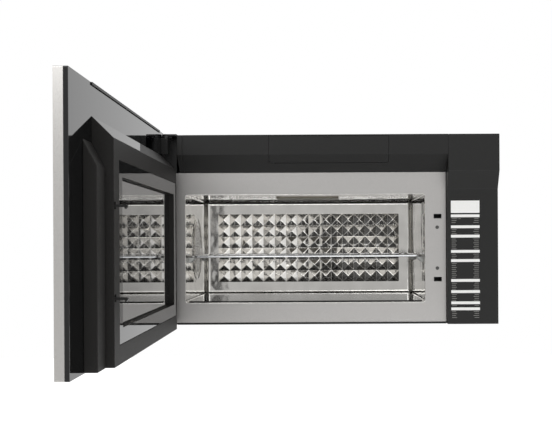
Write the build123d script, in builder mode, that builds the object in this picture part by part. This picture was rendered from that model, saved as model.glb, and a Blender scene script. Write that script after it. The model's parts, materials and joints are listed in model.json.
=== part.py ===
"""Over-the-range microwave oven, 30 inch class, flush mounted, with a full-width side-swing door.

Frame: the origin is on the wall plane, on the centreline, level with the body's bottom face.
+X is to the right as seen from the front, +Y points to the wall and +Z is up. Sizes are in mm.
The door parts are drawn with the door closed and turned about the hinge pins when they are written.
"""

import os
from math import cos, radians, sin

from build123d import *

os.makedirs("parts", exist_ok=True)

# ---------------------------------------------------------------- driving dimensions
body_width = 759.0
body_height = 423.0
body_depth = 405.0
sheet = 1.0
moulding = 2.5
door_open_angle = 89.15

# cavity mouth, as seen from the front
cavity_x = (-322.7, 217.6)
cavity_z = (48.6, 292.5)
cavity_corner = 5.0
face_setback = 37.0  # silver face plate behind the body's front plane
cavity_depth = 345.0

# front plane of the vent band, its crease and the foot of its slope
band_crease_z = 379.0
band_foot_z = 342.5
band_x = (-322.7, 266.0)
flap_x = (-131.0, 134.0)
flap_foot_z = 362.0

# recessed label column at the right
column_setback = 22.0
block_crease_z = 342.0
block_foot_z = 302.0

# latch slots in the face plate
latch_x = 246.0
latch_heights = (100.0, 242.0)
latch_slot = (17.6, 10.2)

# door slab and what stands on its inner side
door_z = (-6.4, 430.2)
door_half_width = 379.25
door_gap = 2.5  # between the slab and the body's front plane
skin_return = 14.4
liner_depth = 7.0
choke_x = (-346.0, 254.0)
choke_z = (-5.0, 345.0)
choke_depth = 33.5
choke_crest_z = 378.3
border_x = (-341.0, 217.0)  # shallow border round the window
border_z = (25.0, 316.0)
border_step = 1.0
window_x = (-316.0, 192.0)
window_z = (51.0, 290.0)
window_recess = 10.8  # front of the window glass behind the frame's face
control_x = (254.0, 305.0)
control_top = (298.2, 338.5)  # foot and top of the slope on the control housing
control_depth = 20.7

# hinge axis, measured from the centreline and from the body's front plane
hinge_x = -360.0
hinge_setback = 6.0
pin_radius = 3.0
eye_radius = 8.0
running_gap = 0.05

# square pyramids stamped into the cavity's back wall
pyramid_pitch = 29.8
pyramid_columns = 16
pyramid_rows = 6
pyramid_height = 7.0

# wire rack
rack_height = 153.0
rack_wire = 2.5
rack_bar = 1.6

# ---------------------------------------------------------------- derived places
half_width = body_width / 2


def back(distance):
    """Y of a plane that lies this far behind the body's front plane."""
    return distance - body_depth


door_inner_y = back(-door_gap)
liner_front_y = door_inner_y - liner_depth
door_front_y = liner_front_y - skin_return
choke_face_y = door_inner_y + choke_depth
hinge_y = back(hinge_setback)
face_y = back(face_setback)
cavity_back_y = back(face_setback + cavity_depth)
inside_x = (-half_width + sheet, half_width - sheet)
top_z = body_height
duct_floor_z = cavity_z[0] - sheet - 0.6


def middle(span):
    return (span[0] + span[1]) / 2


def block(x, y, z, mode=Mode.ADD):
    """A plain block between low and high limits, added to or cut from the part being built."""
    with Locations((middle(x), middle(y), middle(z))):
        Box(x[1] - x[0], y[1] - y[0], z[1] - z[0], mode=mode)


def rod(start, end, radius, mode=Mode.ADD):
    """A round bar along one row axis, from its start point to its end point."""
    run = Vector(*end) - Vector(*start)
    with Locations(Plane(origin=start, z_dir=run)):
        Cylinder(radius, run.length, align=(Align.CENTER, Align.CENTER, Align.MIN), mode=mode)


def wire(start, end, radius):
    """A thin bar with eight flats, for wires that are laid side by side in numbers."""
    run = Vector(*end) - Vector(*start)
    with BuildSketch(Plane(origin=start, z_dir=run)) as section:
        RegularPolygon(radius, 8)
    extrude(section.sketch, amount=run.length)


def drum(start, end, radius, sides=24, mode=Mode.ADD):
    """A many-sided bar along one row axis, for round bodies that stay hidden."""
    run = Vector(*end) - Vector(*start)
    with BuildSketch(Plane(origin=start, z_dir=run)) as section:
        RegularPolygon(radius, sides)
    extrude(section.sketch, amount=run.length, mode=mode)


def save(part, name):
    """Names a finished piece and writes it."""
    part.label = name
    export_step(part, f"parts/{name}.step")


def save_on_door(part, name):
    """Turns a piece of the door from closed to open about the hinge pins, then writes it."""
    hinge_axis = Axis((hinge_x, hinge_y, 0), (0, 0, 1))
    save(part.rotate(hinge_axis, -door_open_angle), name)


# ---------------------------------------------------------------- cabinet sheets
exhaust_x = (-118.0, 118.0)
exhaust_y = (-114.0, -34.0)
bolt_spacing = 560.0
bolt_y = -290.0
bolt_hole_radius = 3.6
cord_hole = (300.0, -60.0)
grommet_radius = 14.0
cord_bore = 9.0

with BuildPart() as top_cover:
    with BuildSketch(Plane.XY.offset(top_z - sheet)):
        with Locations((0, back(45) / 2)):
            Rectangle(body_width, -back(45))
        with Locations((middle(exhaust_x), middle(exhaust_y))):
            Rectangle(exhaust_x[1] - exhaust_x[0], exhaust_y[1] - exhaust_y[0], mode=Mode.SUBTRACT)
        with Locations((-bolt_spacing / 2, bolt_y), (bolt_spacing / 2, bolt_y)):
            Circle(bolt_hole_radius, mode=Mode.SUBTRACT)
        with Locations(cord_hole):
            Circle(grommet_radius, mode=Mode.SUBTRACT)
    extrude(amount=sheet)
save(top_cover.part, "top_cover")

side_vent_pitch = 14.0

with BuildPart() as left_side:
    with BuildSketch(Plane.YZ.offset(-half_width)):
        with BuildLine():
            Polyline(
                (back(31), 0), (-sheet, 0), (-sheet, top_z - sheet), (back(45), top_z - sheet),
                (back(45), top_z - 14), (back(31), top_z - 14), close=True,
            )
        make_face()
    extrude(amount=sheet)
save(left_side.part, "left_side")

with BuildPart() as right_side:
    with BuildSketch(Plane.YZ.offset(half_width - sheet)):
        with Locations((middle((back(45), -sheet)), (top_z - sheet) / 2)):
            Rectangle(-sheet - back(45), top_z - sheet)
        with Locations((-150, 210)):
            with GridLocations(side_vent_pitch, 0, 9, 1):
                Rectangle(5, 60, mode=Mode.SUBTRACT)
    extrude(amount=sheet)
save(right_side.part, "right_side")

hook_slot = (30.0, 8.0)
hook_spacing = 440.0
hook_height = 25.0

with BuildPart() as rear_panel:
    with BuildSketch(Plane.XZ):
        with Locations((0, (top_z - sheet) / 2)):
            Rectangle(body_width, top_z - sheet)
        with Locations((-hook_spacing / 2, hook_height), (hook_spacing / 2, hook_height)):
            SlotOverall(*hook_slot, mode=Mode.SUBTRACT)
    extrude(amount=sheet)
save(rear_panel.part, "rear_panel")

# base pan with two filter wells and two lamp windows
filter_size = (270.0, 165.0)
filter_thickness = 9.0
filter_centres = ((-190.0, -190.0), (190.0, -190.0))
filter_gap = 1.0
lens_size = (96.0, 44.0)
lens_centres = ((-190.0, -325.0), (190.0, -325.0))
ledge = 7.0

with BuildPart() as base_pan:
    with BuildSketch():
        with Locations((0, middle((back(48), -sheet)))):
            Rectangle(2 * inside_x[1], -sheet - back(48))
        with Locations(*lens_centres):
            Rectangle(lens_size[0], lens_size[1], mode=Mode.SUBTRACT)
    extrude(amount=sheet)
    well = (filter_size[0] + 2 * filter_gap, filter_size[1] + 2 * filter_gap)
    with BuildSketch():
        with Locations(*filter_centres):
            Rectangle(well[0] + 2 * sheet, well[1] + 2 * sheet)
    extrude(amount=filter_thickness + 2 * sheet)
    with BuildSketch():
        with Locations(*filter_centres):
            Rectangle(*well)
    extrude(amount=filter_thickness + sheet, mode=Mode.SUBTRACT)
    with BuildSketch():
        with Locations(*filter_centres):
            Rectangle(well[0] - 2 * ledge, well[1] - 2 * ledge)
    extrude(amount=20, mode=Mode.SUBTRACT)
save(base_pan.part, "base_pan")

with BuildPart() as duct_plate:
    with BuildSketch(Plane.XY.offset(duct_floor_z - sheet)):
        with Locations((0, middle((back(46), -sheet)))):
            Rectangle(2 * inside_x[1], -sheet - back(46))
        with Locations((-350, -60), (340, -60)):
            Rectangle(34, 90, mode=Mode.SUBTRACT)
    extrude(amount=sheet)
save(duct_plate.part, "duct_plate")

lip_left = -340.5

with BuildPart() as front_lip:
    with BuildSketch(Plane.YZ.offset(lip_left)):
        with BuildLine():
            Polyline(
                (back(36), 4.4), (back(36), 1.2), (back(37.2), 0), (back(48), 0), (back(48), 4.4), close=True,
            )
        make_face()
    extrude(amount=264.7 - lip_left)
save(front_lip.part, "front_lip")

# ---------------------------------------------------------------- oven cavity
mouth_size = (cavity_x[1] - cavity_x[0], cavity_z[1] - cavity_z[0])
mouth_centre = (middle(cavity_x), middle(cavity_z))
screw_heights = (125.0, 217.0)
face_screw_x = 245.0
face_screw_radius = 4.0

with BuildPart() as face_plate:
    with BuildSketch(Plane.XZ.offset(-face_y)):
        with Locations((middle((inside_x[0], 264.7)), middle((4.6, 341.5)))):
            Rectangle(264.7 - inside_x[0], 341.5 - 4.6)
        with Locations(mouth_centre):
            RectangleRounded(*mouth_size, cavity_corner, mode=Mode.SUBTRACT)
        with Locations(*[(latch_x, height) for height in latch_heights]):
            Rectangle(*latch_slot, mode=Mode.SUBTRACT)
        with Locations(*[(face_screw_x, height) for height in screw_heights]):
            Circle(2.1, mode=Mode.SUBTRACT)
    extrude(amount=-sheet)
save(face_plate.part, "face_plate")

with BuildPart() as face_screws:
    for height in screw_heights:
        rod((face_screw_x, face_y, height), (face_screw_x, face_y - 1.2, height), face_screw_radius)
        rod((face_screw_x, face_y, height), (face_screw_x, face_y + 5, height), 2.0)
save(face_screws.part, "face_screws")

fan_centre = (-190.0, 170.0)  # Y and Z of the convection fan behind the left wall
fan_hole_radius = 66.0
waveguide_mouth = (110.0, 90.0)
waveguide_centre = (-50.0, -190.0)
lamp_centre = (-320.0, 262.0)  # Y and Z of the cavity lamp in the right wall
lamp_window = (52.0, 26.0)

with BuildPart() as cavity_wrapper:
    with BuildSketch(Plane.XZ.offset(-(face_y + sheet))):
        with Locations(mouth_centre):
            RectangleRounded(mouth_size[0] + 2 * sheet, mouth_size[1] + 2 * sheet, cavity_corner + sheet)
            RectangleRounded(*mouth_size, cavity_corner, mode=Mode.SUBTRACT)
    extrude(amount=-(cavity_back_y - face_y - sheet))
    with BuildSketch(Plane.YZ.offset(cavity_x[0] - 2 * sheet)):
        with Locations(fan_centre):
            RegularPolygon(fan_hole_radius, 36)
    extrude(amount=3 * sheet, mode=Mode.SUBTRACT)
    with BuildSketch(Plane.XY.offset(cavity_z[1] - sheet)):
        with Locations(waveguide_centre):
            Rectangle(*waveguide_mouth)
    extrude(amount=3 * sheet, mode=Mode.SUBTRACT)
    with BuildSketch(Plane.YZ.offset(cavity_x[1] - sheet)):
        with Locations(lamp_centre):
            Rectangle(*lamp_window)
    extrude(amount=3 * sheet, mode=Mode.SUBTRACT)
save(cavity_wrapper.part, "cavity_wrapper")

# pressed back wall: a raised grid of square pyramids whose points face the door
pyramid_base = pyramid_pitch - 0.4
pyramid_tip = 1.2
tip_span = ((pyramid_base - pyramid_tip) / 2, (pyramid_base + pyramid_tip) / 2)
pyramid_field_z = 170.0
pyramid_places = [
    Location(
        (
            mouth_centre[0] + (column - (pyramid_columns - 1) / 2) * pyramid_pitch,
            cavity_back_y,
            pyramid_field_z + (row - (pyramid_rows - 1) / 2) * pyramid_pitch,
        ),
        (0, 0, 180),
    )
    for column in range(pyramid_columns)
    for row in range(pyramid_rows)
]

with BuildPart() as diamond_back_wall:
    with BuildSketch(Plane.XZ.offset(-cavity_back_y)):
        with Locations(mouth_centre):
            RectangleRounded(mouth_size[0] + 2 * sheet, mouth_size[1] + 2 * sheet, cavity_corner + sheet)
    extrude(amount=-sheet)
    with Locations(*pyramid_places):
        Wedge(
            pyramid_base, pyramid_height, pyramid_base, tip_span[0], tip_span[0], tip_span[1], tip_span[1],
            align=(Align.CENTER, Align.MIN, Align.CENTER),
        )
save(diamond_back_wall.part, "diamond_back_wall")

with BuildPart() as cavity_floor_glass:
    with BuildSketch(Plane.XY.offset(cavity_z[0])):
        with Locations((mouth_centre[0], middle((back(45), cavity_back_y - 5)))):
            RectangleRounded(mouth_size[0] - 2 * cavity_corner - 2, cavity_back_y - 5 - back(45), 6)
    extrude(amount=4)
save(cavity_floor_glass.part, "cavity_floor_glass")

with BuildPart() as waveguide_cover:
    with BuildSketch(Plane.XY.offset(cavity_z[1] - 2)):
        with Locations(waveguide_centre):
            RectangleRounded(150, 125, 8)
    extrude(amount=2)
save(waveguide_cover.part, "waveguide_cover")

# ---------------------------------------------------------------- convection side
cover_radius = 76.0
cover_rings = ((14.0, 6), (28.0, 12), (42.0, 18), (56.0, 24))

with BuildPart() as convection_cover:
    with BuildSketch(Plane.YZ.offset(cavity_x[0])):
        with Locations(fan_centre):
            RegularPolygon(cover_radius, 48)
            for ring_radius, hole_count in cover_rings:
                with PolarLocations(ring_radius, hole_count):
                    RegularPolygon(2.8, 6, mode=Mode.SUBTRACT)
    extrude(amount=1.2)
save(convection_cover.part, "convection_cover")

housing_depth = 20.0
housing_x = (cavity_x[0] - sheet - housing_depth, cavity_x[0] - sheet)

with BuildPart() as convection_housing:
    with BuildSketch(Plane.YZ.offset(housing_x[0])):
        with Locations(fan_centre):
            RectangleRounded(166, 166, 20)
    extrude(amount=housing_depth)
    with BuildSketch(Plane.YZ.offset(housing_x[0] + sheet)):
        with Locations(fan_centre):
            RectangleRounded(164, 164, 19)
    extrude(amount=housing_depth, mode=Mode.SUBTRACT)
    rod((housing_x[0] - 1, *fan_centre), (housing_x[0] + 2, *fan_centre), 5, mode=Mode.SUBTRACT)
save(convection_housing.part, "convection_housing")

heater_radius = 72.0
heater_rod = 3.2

with BuildPart() as convection_heater:
    with BuildSketch(Plane.YZ.offset(housing_x[0] + 11 - heater_rod)):
        with Locations(fan_centre):
            RegularPolygon(heater_radius + heater_rod, 36)
            RegularPolygon(heater_radius - heater_rod, 36, mode=Mode.SUBTRACT)
        with Locations((fan_centre[0], fan_centre[1] - heater_radius)):
            Rectangle(12, 4 * heater_rod, mode=Mode.SUBTRACT)
    extrude(amount=2 * heater_rod)
save(convection_heater.part, "convection_heater")

fan_blades = 10

with BuildPart() as convection_fan:
    with BuildSketch(Plane.YZ.offset(housing_x[0] + 4)):
        with Locations(fan_centre):
            RegularPolygon(60, 36)
    extrude(amount=1)
    with BuildSketch(Plane.YZ.offset(housing_x[0] + 5)):
        with Locations(fan_centre):
            with PolarLocations(38, fan_blades):
                Rectangle(40, 1.2)
    extrude(amount=11)
    with BuildSketch(Plane.YZ.offset(housing_x[0] + 5)):
        with Locations(fan_centre):
            RegularPolygon(9, 16)
    extrude(amount=9)
    rod((housing_x[0] - 12, *fan_centre), (housing_x[0] + 5, *fan_centre), pin_radius)
save(convection_fan.part, "convection_fan")

with BuildPart() as convection_motor:
    drum((inside_x[0] + 5, *fan_centre), (housing_x[0] - 2.5, *fan_centre), 32)
    drum((housing_x[0] - 2.5, *fan_centre), (housing_x[0], *fan_centre), 12, sides=16)
    rod((housing_x[0] - 13, *fan_centre), (housing_x[0] + 1, *fan_centre), pin_radius + running_gap,
        mode=Mode.SUBTRACT)
save(convection_motor.part, "convection_motor")

# ---------------------------------------------------------------- rack and its supports
rack_x = (cavity_x[0] + 6, cavity_x[1] - 6)
rack_y = (back(52), cavity_back_y - pyramid_height - 4)
support_y = (-310.0, -90.0)
support_top = rack_height - rack_wire

with BuildPart() as rack_supports:
    for y in support_y:
        for wall_x, inward in ((cavity_x[0], 1), (cavity_x[1], -1)):
            with BuildSketch(Plane.XZ.offset(-(y - 12))):
                with BuildLine():
                    Polyline(
                        (wall_x, support_top), (wall_x + inward * 13, support_top),
                        (wall_x + inward * 13, support_top - 4), (wall_x + inward * 4, support_top - 12),
                        (wall_x, support_top - 12), close=True,
                    )
                make_face()
            extrude(amount=-24)
save(rack_supports.part, "rack_supports")

rack_wires = 19

with BuildPart() as wire_rack:
    with BuildLine(Plane.XY.offset(rack_height)) as rack_outline:
        corner_points = [
            (rack_x[0], rack_y[0]), (rack_x[1], rack_y[0]), (rack_x[1], rack_y[1]), (rack_x[0], rack_y[1]),
        ]
        FilletPolyline(*corner_points, radius=20, close=True)
    with BuildSketch(Plane(origin=(middle(rack_x), rack_y[0], rack_height), z_dir=(1, 0, 0))):
        RegularPolygon(rack_wire, 8)
    sweep(path=rack_outline.wires()[0])
    rack_step = (rack_x[1] - rack_x[0]) / (rack_wires + 1)
    for index in range(1, rack_wires + 1):
        wire_x = rack_x[0] + index * rack_step
        wire((wire_x, rack_y[0], rack_height), (wire_x, rack_y[1], rack_height), rack_bar)
    # one bar runs under the wires and carries them
    bar_z = rack_height - 1.5 * rack_bar
    wire((rack_x[0], middle(rack_y), bar_z), (rack_x[1], middle(rack_y), bar_z), rack_bar)
save(wire_rack.part, "wire_rack")

# ---------------------------------------------------------------- vent band across the top front
band_profile = [
    (back(0), band_crease_z), (back(0), top_z), (back(45), top_z), (back(45), top_z - moulding),
    (back(moulding), top_z - moulding), (back(moulding), band_crease_z + 1),
    (back(face_setback), band_foot_z + moulding), (back(face_setback), band_foot_z),
]
flap_gap = 0.6
vent_slot_pitch = 9.0
flap_foot_y = back(band_crease_z - flap_foot_z)
flap_bead = 2.2
flap_pin_radius = 1.0
flap_axis = (flap_foot_y + flap_bead + 0.4, flap_foot_z + flap_bead + 0.6)  # Y and Z

with BuildPart() as top_vent_band:
    with BuildSketch(Plane.YZ.offset(band_x[0] + 0.2)):
        with BuildLine():
            Polyline(*band_profile, close=True)
        make_face()
    extrude(amount=band_x[1] - band_x[0] - 0.4)
    flap_room = (flap_x[0] - flap_gap, flap_x[1] + flap_gap)
    block(flap_room, (back(-1), back(22)), (flap_foot_z - flap_gap, top_z - moulding), mode=Mode.SUBTRACT)
    with BuildSketch(Plane.XY.offset(top_z - 2 * moulding)):
        for slot_centre in (-225, 0, 200):
            with Locations((slot_centre, back(27))):
                with GridLocations(vent_slot_pitch, 0, 11, 1):
                    Rectangle(4, 26)
    extrude(amount=3 * moulding, mode=Mode.SUBTRACT)
    # ears and trunnions that carry the flap
    for ear_x, inward in ((flap_room[0], 1), (flap_room[1], -1)):
        ear = sorted((ear_x, ear_x - 3 * inward))
        block(ear, (flap_axis[0] - 2.4, flap_axis[0] + 3), (flap_axis[1] - 4, flap_axis[1] + 3))
        rod((ear_x - 2 * inward, *flap_axis), (ear_x + 8 * inward, *flap_axis), flap_pin_radius - running_gap)
save(top_vent_band.part, "top_vent_band")

end_cap_left = -334.5

with BuildPart() as left_end_cap:
    with BuildSketch(Plane.YZ.offset(end_cap_left)):
        with BuildLine():
            Polyline(*band_profile, close=True)
        make_face()
    extrude(amount=band_x[0] - 0.2 - end_cap_left)
save(left_end_cap.part, "left_end_cap")

# hinged flap: a bent plate in the band's own planes, with a finger notch and a round hinge bead at its foot
with BuildPart() as filter_flap:
    with BuildSketch(Plane.YZ.offset(flap_x[0])):
        with BuildLine():
            Polyline(
                (back(0), top_z - moulding - flap_gap), (back(0), band_crease_z), (flap_foot_y, flap_foot_z),
                (flap_foot_y + 1.6, flap_foot_z + 1.6), (back(moulding), band_crease_z + 1),
                (back(moulding), top_z - moulding - flap_gap), close=True,
            )
        make_face()
        with Locations(flap_axis):
            Circle(flap_bead)
    extrude(amount=flap_x[1] - flap_x[0])
    with BuildSketch(Plane.XZ.offset(-back(0))):
        with Locations((-1, top_z - 9)):
            RectangleRounded(16, 5, 2)
    extrude(amount=-1, mode=Mode.SUBTRACT)
    rod((flap_x[0] - 1, *flap_axis), (flap_x[1] + 1, *flap_axis), flap_pin_radius, mode=Mode.SUBTRACT)
save(filter_flap.part, "filter_flap")

filter_slats = 16

with BuildPart() as charcoal_filter:
    block((-122, 124), (back(50), back(64)), (346, 414))
    with BuildSketch(Plane.XZ.offset(-back(50))):
        with Locations((1, 380)):
            with GridLocations(14.5, 0, filter_slats, 1):
                Rectangle(10, 56)
    extrude(amount=-3, mode=Mode.SUBTRACT)
save(charcoal_filter.part, "charcoal_filter")

# right end: one moulding, a block in line with the band over a recessed column
with BuildPart() as right_column:
    with BuildSketch(Plane.YZ.offset(band_x[1])):
        with BuildLine():
            Polyline(
                (back(0), block_crease_z), (back(0), top_z), (back(45), top_z), (back(45), 0),
                (back(column_setback), 0), (back(column_setback), block_foot_z), close=True,
            )
        make_face()
    extrude(amount=half_width - band_x[1])
    with BuildSketch(Plane.YZ.offset(band_x[1] + moulding)):
        with BuildLine():
            Polyline(
                (back(moulding), block_crease_z + 0.8), (back(moulding), top_z - moulding),
                (back(46), top_z - moulding), (back(46), -1), (back(column_setback + moulding), -1),
                (back(column_setback + moulding), block_foot_z + 0.8), close=True,
            )
        make_face()
    extrude(amount=half_width - band_x[1] - 2 * moulding, mode=Mode.SUBTRACT)
save(right_column.part, "right_column")

# ---------------------------------------------------------------- hinge ironwork on the body
arm_x = (hinge_x - 6.3, -346.0)
bracket_sheet = 3.0
upper_arm_z = top_z - 5

with BuildPart() as hinge_brackets:
    for arm_z, rear_y in ((upper_arm_z, back(41)), (0.2, back(46))):
        with BuildSketch(Plane.XY.offset(arm_z)):
            with Locations((hinge_x, hinge_y)):
                Circle(eye_radius - 0.2)
            with Locations((middle(arm_x), middle((hinge_y, rear_y)))):
                Rectangle(arm_x[1] - arm_x[0], rear_y - hinge_y)
            with Locations((hinge_x, hinge_y)):
                Circle(pin_radius, mode=Mode.SUBTRACT)
        extrude(amount=bracket_sheet)
    upper_plate_z = (band_foot_z + 2, upper_arm_z + bracket_sheet)
    for plate_z, rear_y in ((upper_plate_z, back(41)), ((0.2, 43.6), back(46))):
        block((inside_x[0] + 1.5, -341), (rear_y - bracket_sheet, rear_y), plate_z)
save(hinge_brackets.part, "hinge_brackets")

hinge_block_z = ((8.0, 44.0), (380.0, 416.0))

with BuildPart() as hinge_pins:
    rod((hinge_x, hinge_y, 0.2), (hinge_x, hinge_y, hinge_block_z[0][1] - 4), pin_radius)
    rod((hinge_x, hinge_y, 3.2), (hinge_x, hinge_y, hinge_block_z[0][0] - 0.4), 5)
    rod((hinge_x, hinge_y, hinge_block_z[1][0] + 4), (hinge_x, hinge_y, top_z - 2), pin_radius)
save(hinge_pins.part, "hinge_pins")

with BuildPart() as hinge_cap:
    with BuildSketch(Plane.XY.offset(top_z - 1.8)):
        with Locations((hinge_x, hinge_y)):
            Circle(eye_radius - 0.2)
        with Locations((middle((arm_x[0], -335)), middle((hinge_y, back(44))))):
            Rectangle(-335 - arm_x[0], back(44) - hinge_y)
        with Locations((middle((hinge_x, -335)), hinge_y - 2)):
            Rectangle(-335 - hinge_x, 8)
    extrude(amount=4.2)
save(hinge_cap.part, "hinge_cap")

# ---------------------------------------------------------------- interlocks behind the latch slots
pocket_half = 8.0
catch_depth = (3.0, 7.0)

with BuildPart() as interlock_bracket:
    block((234, 260), (face_y + 1.2, back(70)), (84, 262))
    block((236.5, 261), (face_y + 6, back(71)), (116, 226), mode=Mode.SUBTRACT)
    for height in latch_heights:
        pocket_z = (height - pocket_half, height + pocket_half)
        block((236.5, 255.5), (face_y, back(66)), pocket_z, mode=Mode.SUBTRACT)
        with BuildSketch(Plane.YZ.offset(236.5)):
            with BuildLine():
                Polyline(
                    (face_y + catch_depth[0], height - 3), (face_y + catch_depth[1], height - 3),
                    (face_y + catch_depth[1], height - pocket_half), (face_y + 1.2, height - pocket_half),
                    (face_y + 1.2, height - 5), close=True,
                )
            make_face()
        extrude(amount=19)
    for height in screw_heights:
        rod((face_screw_x, face_y, height), (face_screw_x, back(45), height), 2.05, mode=Mode.SUBTRACT)
save(interlock_bracket.part, "interlock_bracket")

with BuildPart() as interlock_switches:
    for height in (latch_heights[0] + 21, latch_heights[1] - 21, latch_heights[1] - 41):
        block((238, 254), (back(50), back(66)), (height - 5, height + 5))
        rod((246, back(50), height), (246, back(47.5), height), 1.5)
save(interlock_switches.part, "interlock_switches")

# ---------------------------------------------------------------- microwave source
duct_height = 34.0
duct_z = (cavity_z[1] + sheet, cavity_z[1] + sheet + duct_height)
duct_y = (-238.0, -142.0)
duct_x = (-112.0, 236.0)

with BuildPart() as waveguide:
    block(duct_x, duct_y, duct_z)
    block((duct_x[0] + 1, duct_x[1] - 1), (duct_y[0] + 1, duct_y[1] - 1), (duct_z[0] + 1, duct_z[1] - 1),
          mode=Mode.SUBTRACT)
    with BuildSketch(Plane.XY.offset(duct_z[0] - 1)):
        with Locations(waveguide_centre):
            Rectangle(waveguide_mouth[0] - 20, waveguide_mouth[1] - 4)
    extrude(amount=3, mode=Mode.SUBTRACT)
    rod((duct_x[1] - 2, -190, middle(duct_z)), (duct_x[1] + 1, -190, middle(duct_z)), 11, mode=Mode.SUBTRACT)
    rod((*waveguide_centre, duct_z[1] - 2), (*waveguide_centre, duct_z[1] + 1), 4, mode=Mode.SUBTRACT)
save(waveguide.part, "waveguide")

stirrer_z = duct_z[0] + 16

with BuildPart() as mode_stirrer:
    with BuildSketch(Plane.XY.offset(stirrer_z)):
        with Locations(waveguide_centre):
            RegularPolygon(10, 16)
            with PolarLocations(20, 3):
                Rectangle(34, 18)
    extrude(amount=1)
    rod((*waveguide_centre, stirrer_z), (*waveguide_centre, duct_z[1] + 9), 2.5)
save(mode_stirrer.part, "mode_stirrer")

with BuildPart() as stirrer_motor:
    drum((*waveguide_centre, duct_z[1] + 0.5), (*waveguide_centre, duct_z[1] + 18), 24)
    rod((*waveguide_centre, duct_z[1] - 1), (*waveguide_centre, duct_z[1] + 10), 2.5 + running_gap,
        mode=Mode.SUBTRACT)
save(stirrer_motor.part, "stirrer_motor")

magnetron_x = (duct_x[1] + 1, duct_x[1] + 92)
magnetron_z = middle(duct_z)
fin_count = 7

with BuildPart() as magnetron:
    drum((magnetron_x[0], -190, magnetron_z), (magnetron_x[1] - 12, -190, magnetron_z), 20, sides=16)
    drum((magnetron_x[0] - 16, -190, magnetron_z), (magnetron_x[0], -190, magnetron_z), 9, sides=16)
    block((magnetron_x[0], magnetron_x[0] + 2), (-235, -145), (magnetron_z - 15, magnetron_z + 60))
    block((magnetron_x[0] + 60, magnetron_x[0] + 62), (-235, -145), (magnetron_z - 15, magnetron_z + 60))
    block((magnetron_x[0] + 62, magnetron_x[1] - 4), (-220, -160), (magnetron_z - 14, magnetron_z + 40))
    for index in range(fin_count):
        fin_x = magnetron_x[0] + 9 + index * 7.2
        block((fin_x, fin_x + 0.8), (-228, -152), (magnetron_z - 14, magnetron_z + 52))
save(magnetron.part, "magnetron")

with BuildPart() as transformer:
    block((240, 330), (-170, -80), (duct_floor_z, duct_floor_z + 2))
    block((252, 318), (-165, -85), (duct_floor_z + 2, duct_floor_z + 72))
    with BuildSketch(Plane.XZ.offset(172)):
        with Locations((285, duct_floor_z + 37)):
            RectangleRounded(52, 56, 10)
    extrude(amount=-94)
save(transformer.part, "transformer")

with BuildPart() as capacitor:
    with BuildSketch(Plane.XY.offset(duct_floor_z)):
        with Locations((350, -230)):
            RectangleRounded(32, 52, 6)
    extrude(amount=88)
    for y in (-238, -222):
        block((348, 352), (y - 0.5, y + 0.5), (duct_floor_z + 88, duct_floor_z + 98))
save(capacitor.part, "capacitor")

cooling_centre = (296.0, 215.0)  # X and Z
cooling_radius = 50.0
shroud_y = (-50.0, -28.0)
fan_shaft = 2.5

with BuildPart() as cooling_fan_shroud:
    with BuildSketch(Plane.XZ.offset(-shroud_y[0])):
        with Locations(cooling_centre):
            RectangleRounded(124, 124, 8)
            RegularPolygon(cooling_radius + 3, 32, mode=Mode.SUBTRACT)
    extrude(amount=-2)
    with BuildSketch(Plane.XZ.offset(-shroud_y[0])):
        with Locations(cooling_centre):
            RegularPolygon(cooling_radius + 5, 32)
            RegularPolygon(cooling_radius + 3, 32, mode=Mode.SUBTRACT)
    extrude(amount=-(shroud_y[1] - shroud_y[0]))
    with BuildSketch(Plane.XZ.offset(-shroud_y[1])):
        with Locations(cooling_centre):
            Rectangle(2 * cooling_radius + 8, 10)
            RegularPolygon(18, 16)
    extrude(amount=-2)
    foot_x = (cooling_centre[0] - 62, cooling_centre[0] + 62)
    block(foot_x, (shroud_y[0], shroud_y[0] + 2), (duct_floor_z, 160))
    with BuildSketch(Plane.XZ.offset(-(shroud_y[1] + 2))):
        with Locations(cooling_centre):
            RegularPolygon(17, 16)
    extrude(amount=-20)
    shaft_start = (cooling_centre[0], shroud_y[1] - 1, cooling_centre[1])
    shaft_end = (cooling_centre[0], shroud_y[1] + 16, cooling_centre[1])
    rod(shaft_start, shaft_end, fan_shaft + running_gap, mode=Mode.SUBTRACT)
save(cooling_fan_shroud.part, "cooling_fan_shroud")

blade_pitch = radians(30)

with BuildPart() as cooling_fan:
    with BuildSketch(Plane.XZ.offset(-(shroud_y[0] + 4))):
        with Locations(cooling_centre):
            RegularPolygon(13, 16)
    extrude(amount=-12)
    for index in range(5):
        turn = radians(72 * index)
        blade_plane = Plane(
            origin=(cooling_centre[0], shroud_y[0] + 10, cooling_centre[1]),
            x_dir=(cos(turn), 0, sin(turn)),
            z_dir=(-sin(turn) * cos(blade_pitch), sin(blade_pitch), cos(turn) * cos(blade_pitch)),
        )
        with BuildSketch(blade_plane):
            with Locations((30, 0)):
                Rectangle(38, 1.5)
        extrude(amount=9, both=True)
    shaft_start = (cooling_centre[0], shroud_y[0] + 5, cooling_centre[1])
    shaft_end = (cooling_centre[0], shroud_y[1] + 15, cooling_centre[1])
    rod(shaft_start, shaft_end, fan_shaft)
save(cooling_fan.part, "cooling_fan")

with BuildPart() as cavity_lamp:
    with BuildSketch(Plane.YZ.offset(cavity_x[1])):
        with Locations(lamp_centre):
            Rectangle(lamp_window[0] - 0.4, lamp_window[1] - 0.4)
    extrude(amount=4)
    drum((cavity_x[1] + 4, *lamp_centre), (cavity_x[1] + 40, *lamp_centre), 8, sides=16)
    block((cavity_x[1] + 40, cavity_x[1] + 52), (lamp_centre[0] - 11, lamp_centre[0] + 11),
          (lamp_centre[1] - 11, lamp_centre[1] + 11))
save(cavity_lamp.part, "cavity_lamp")

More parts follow.
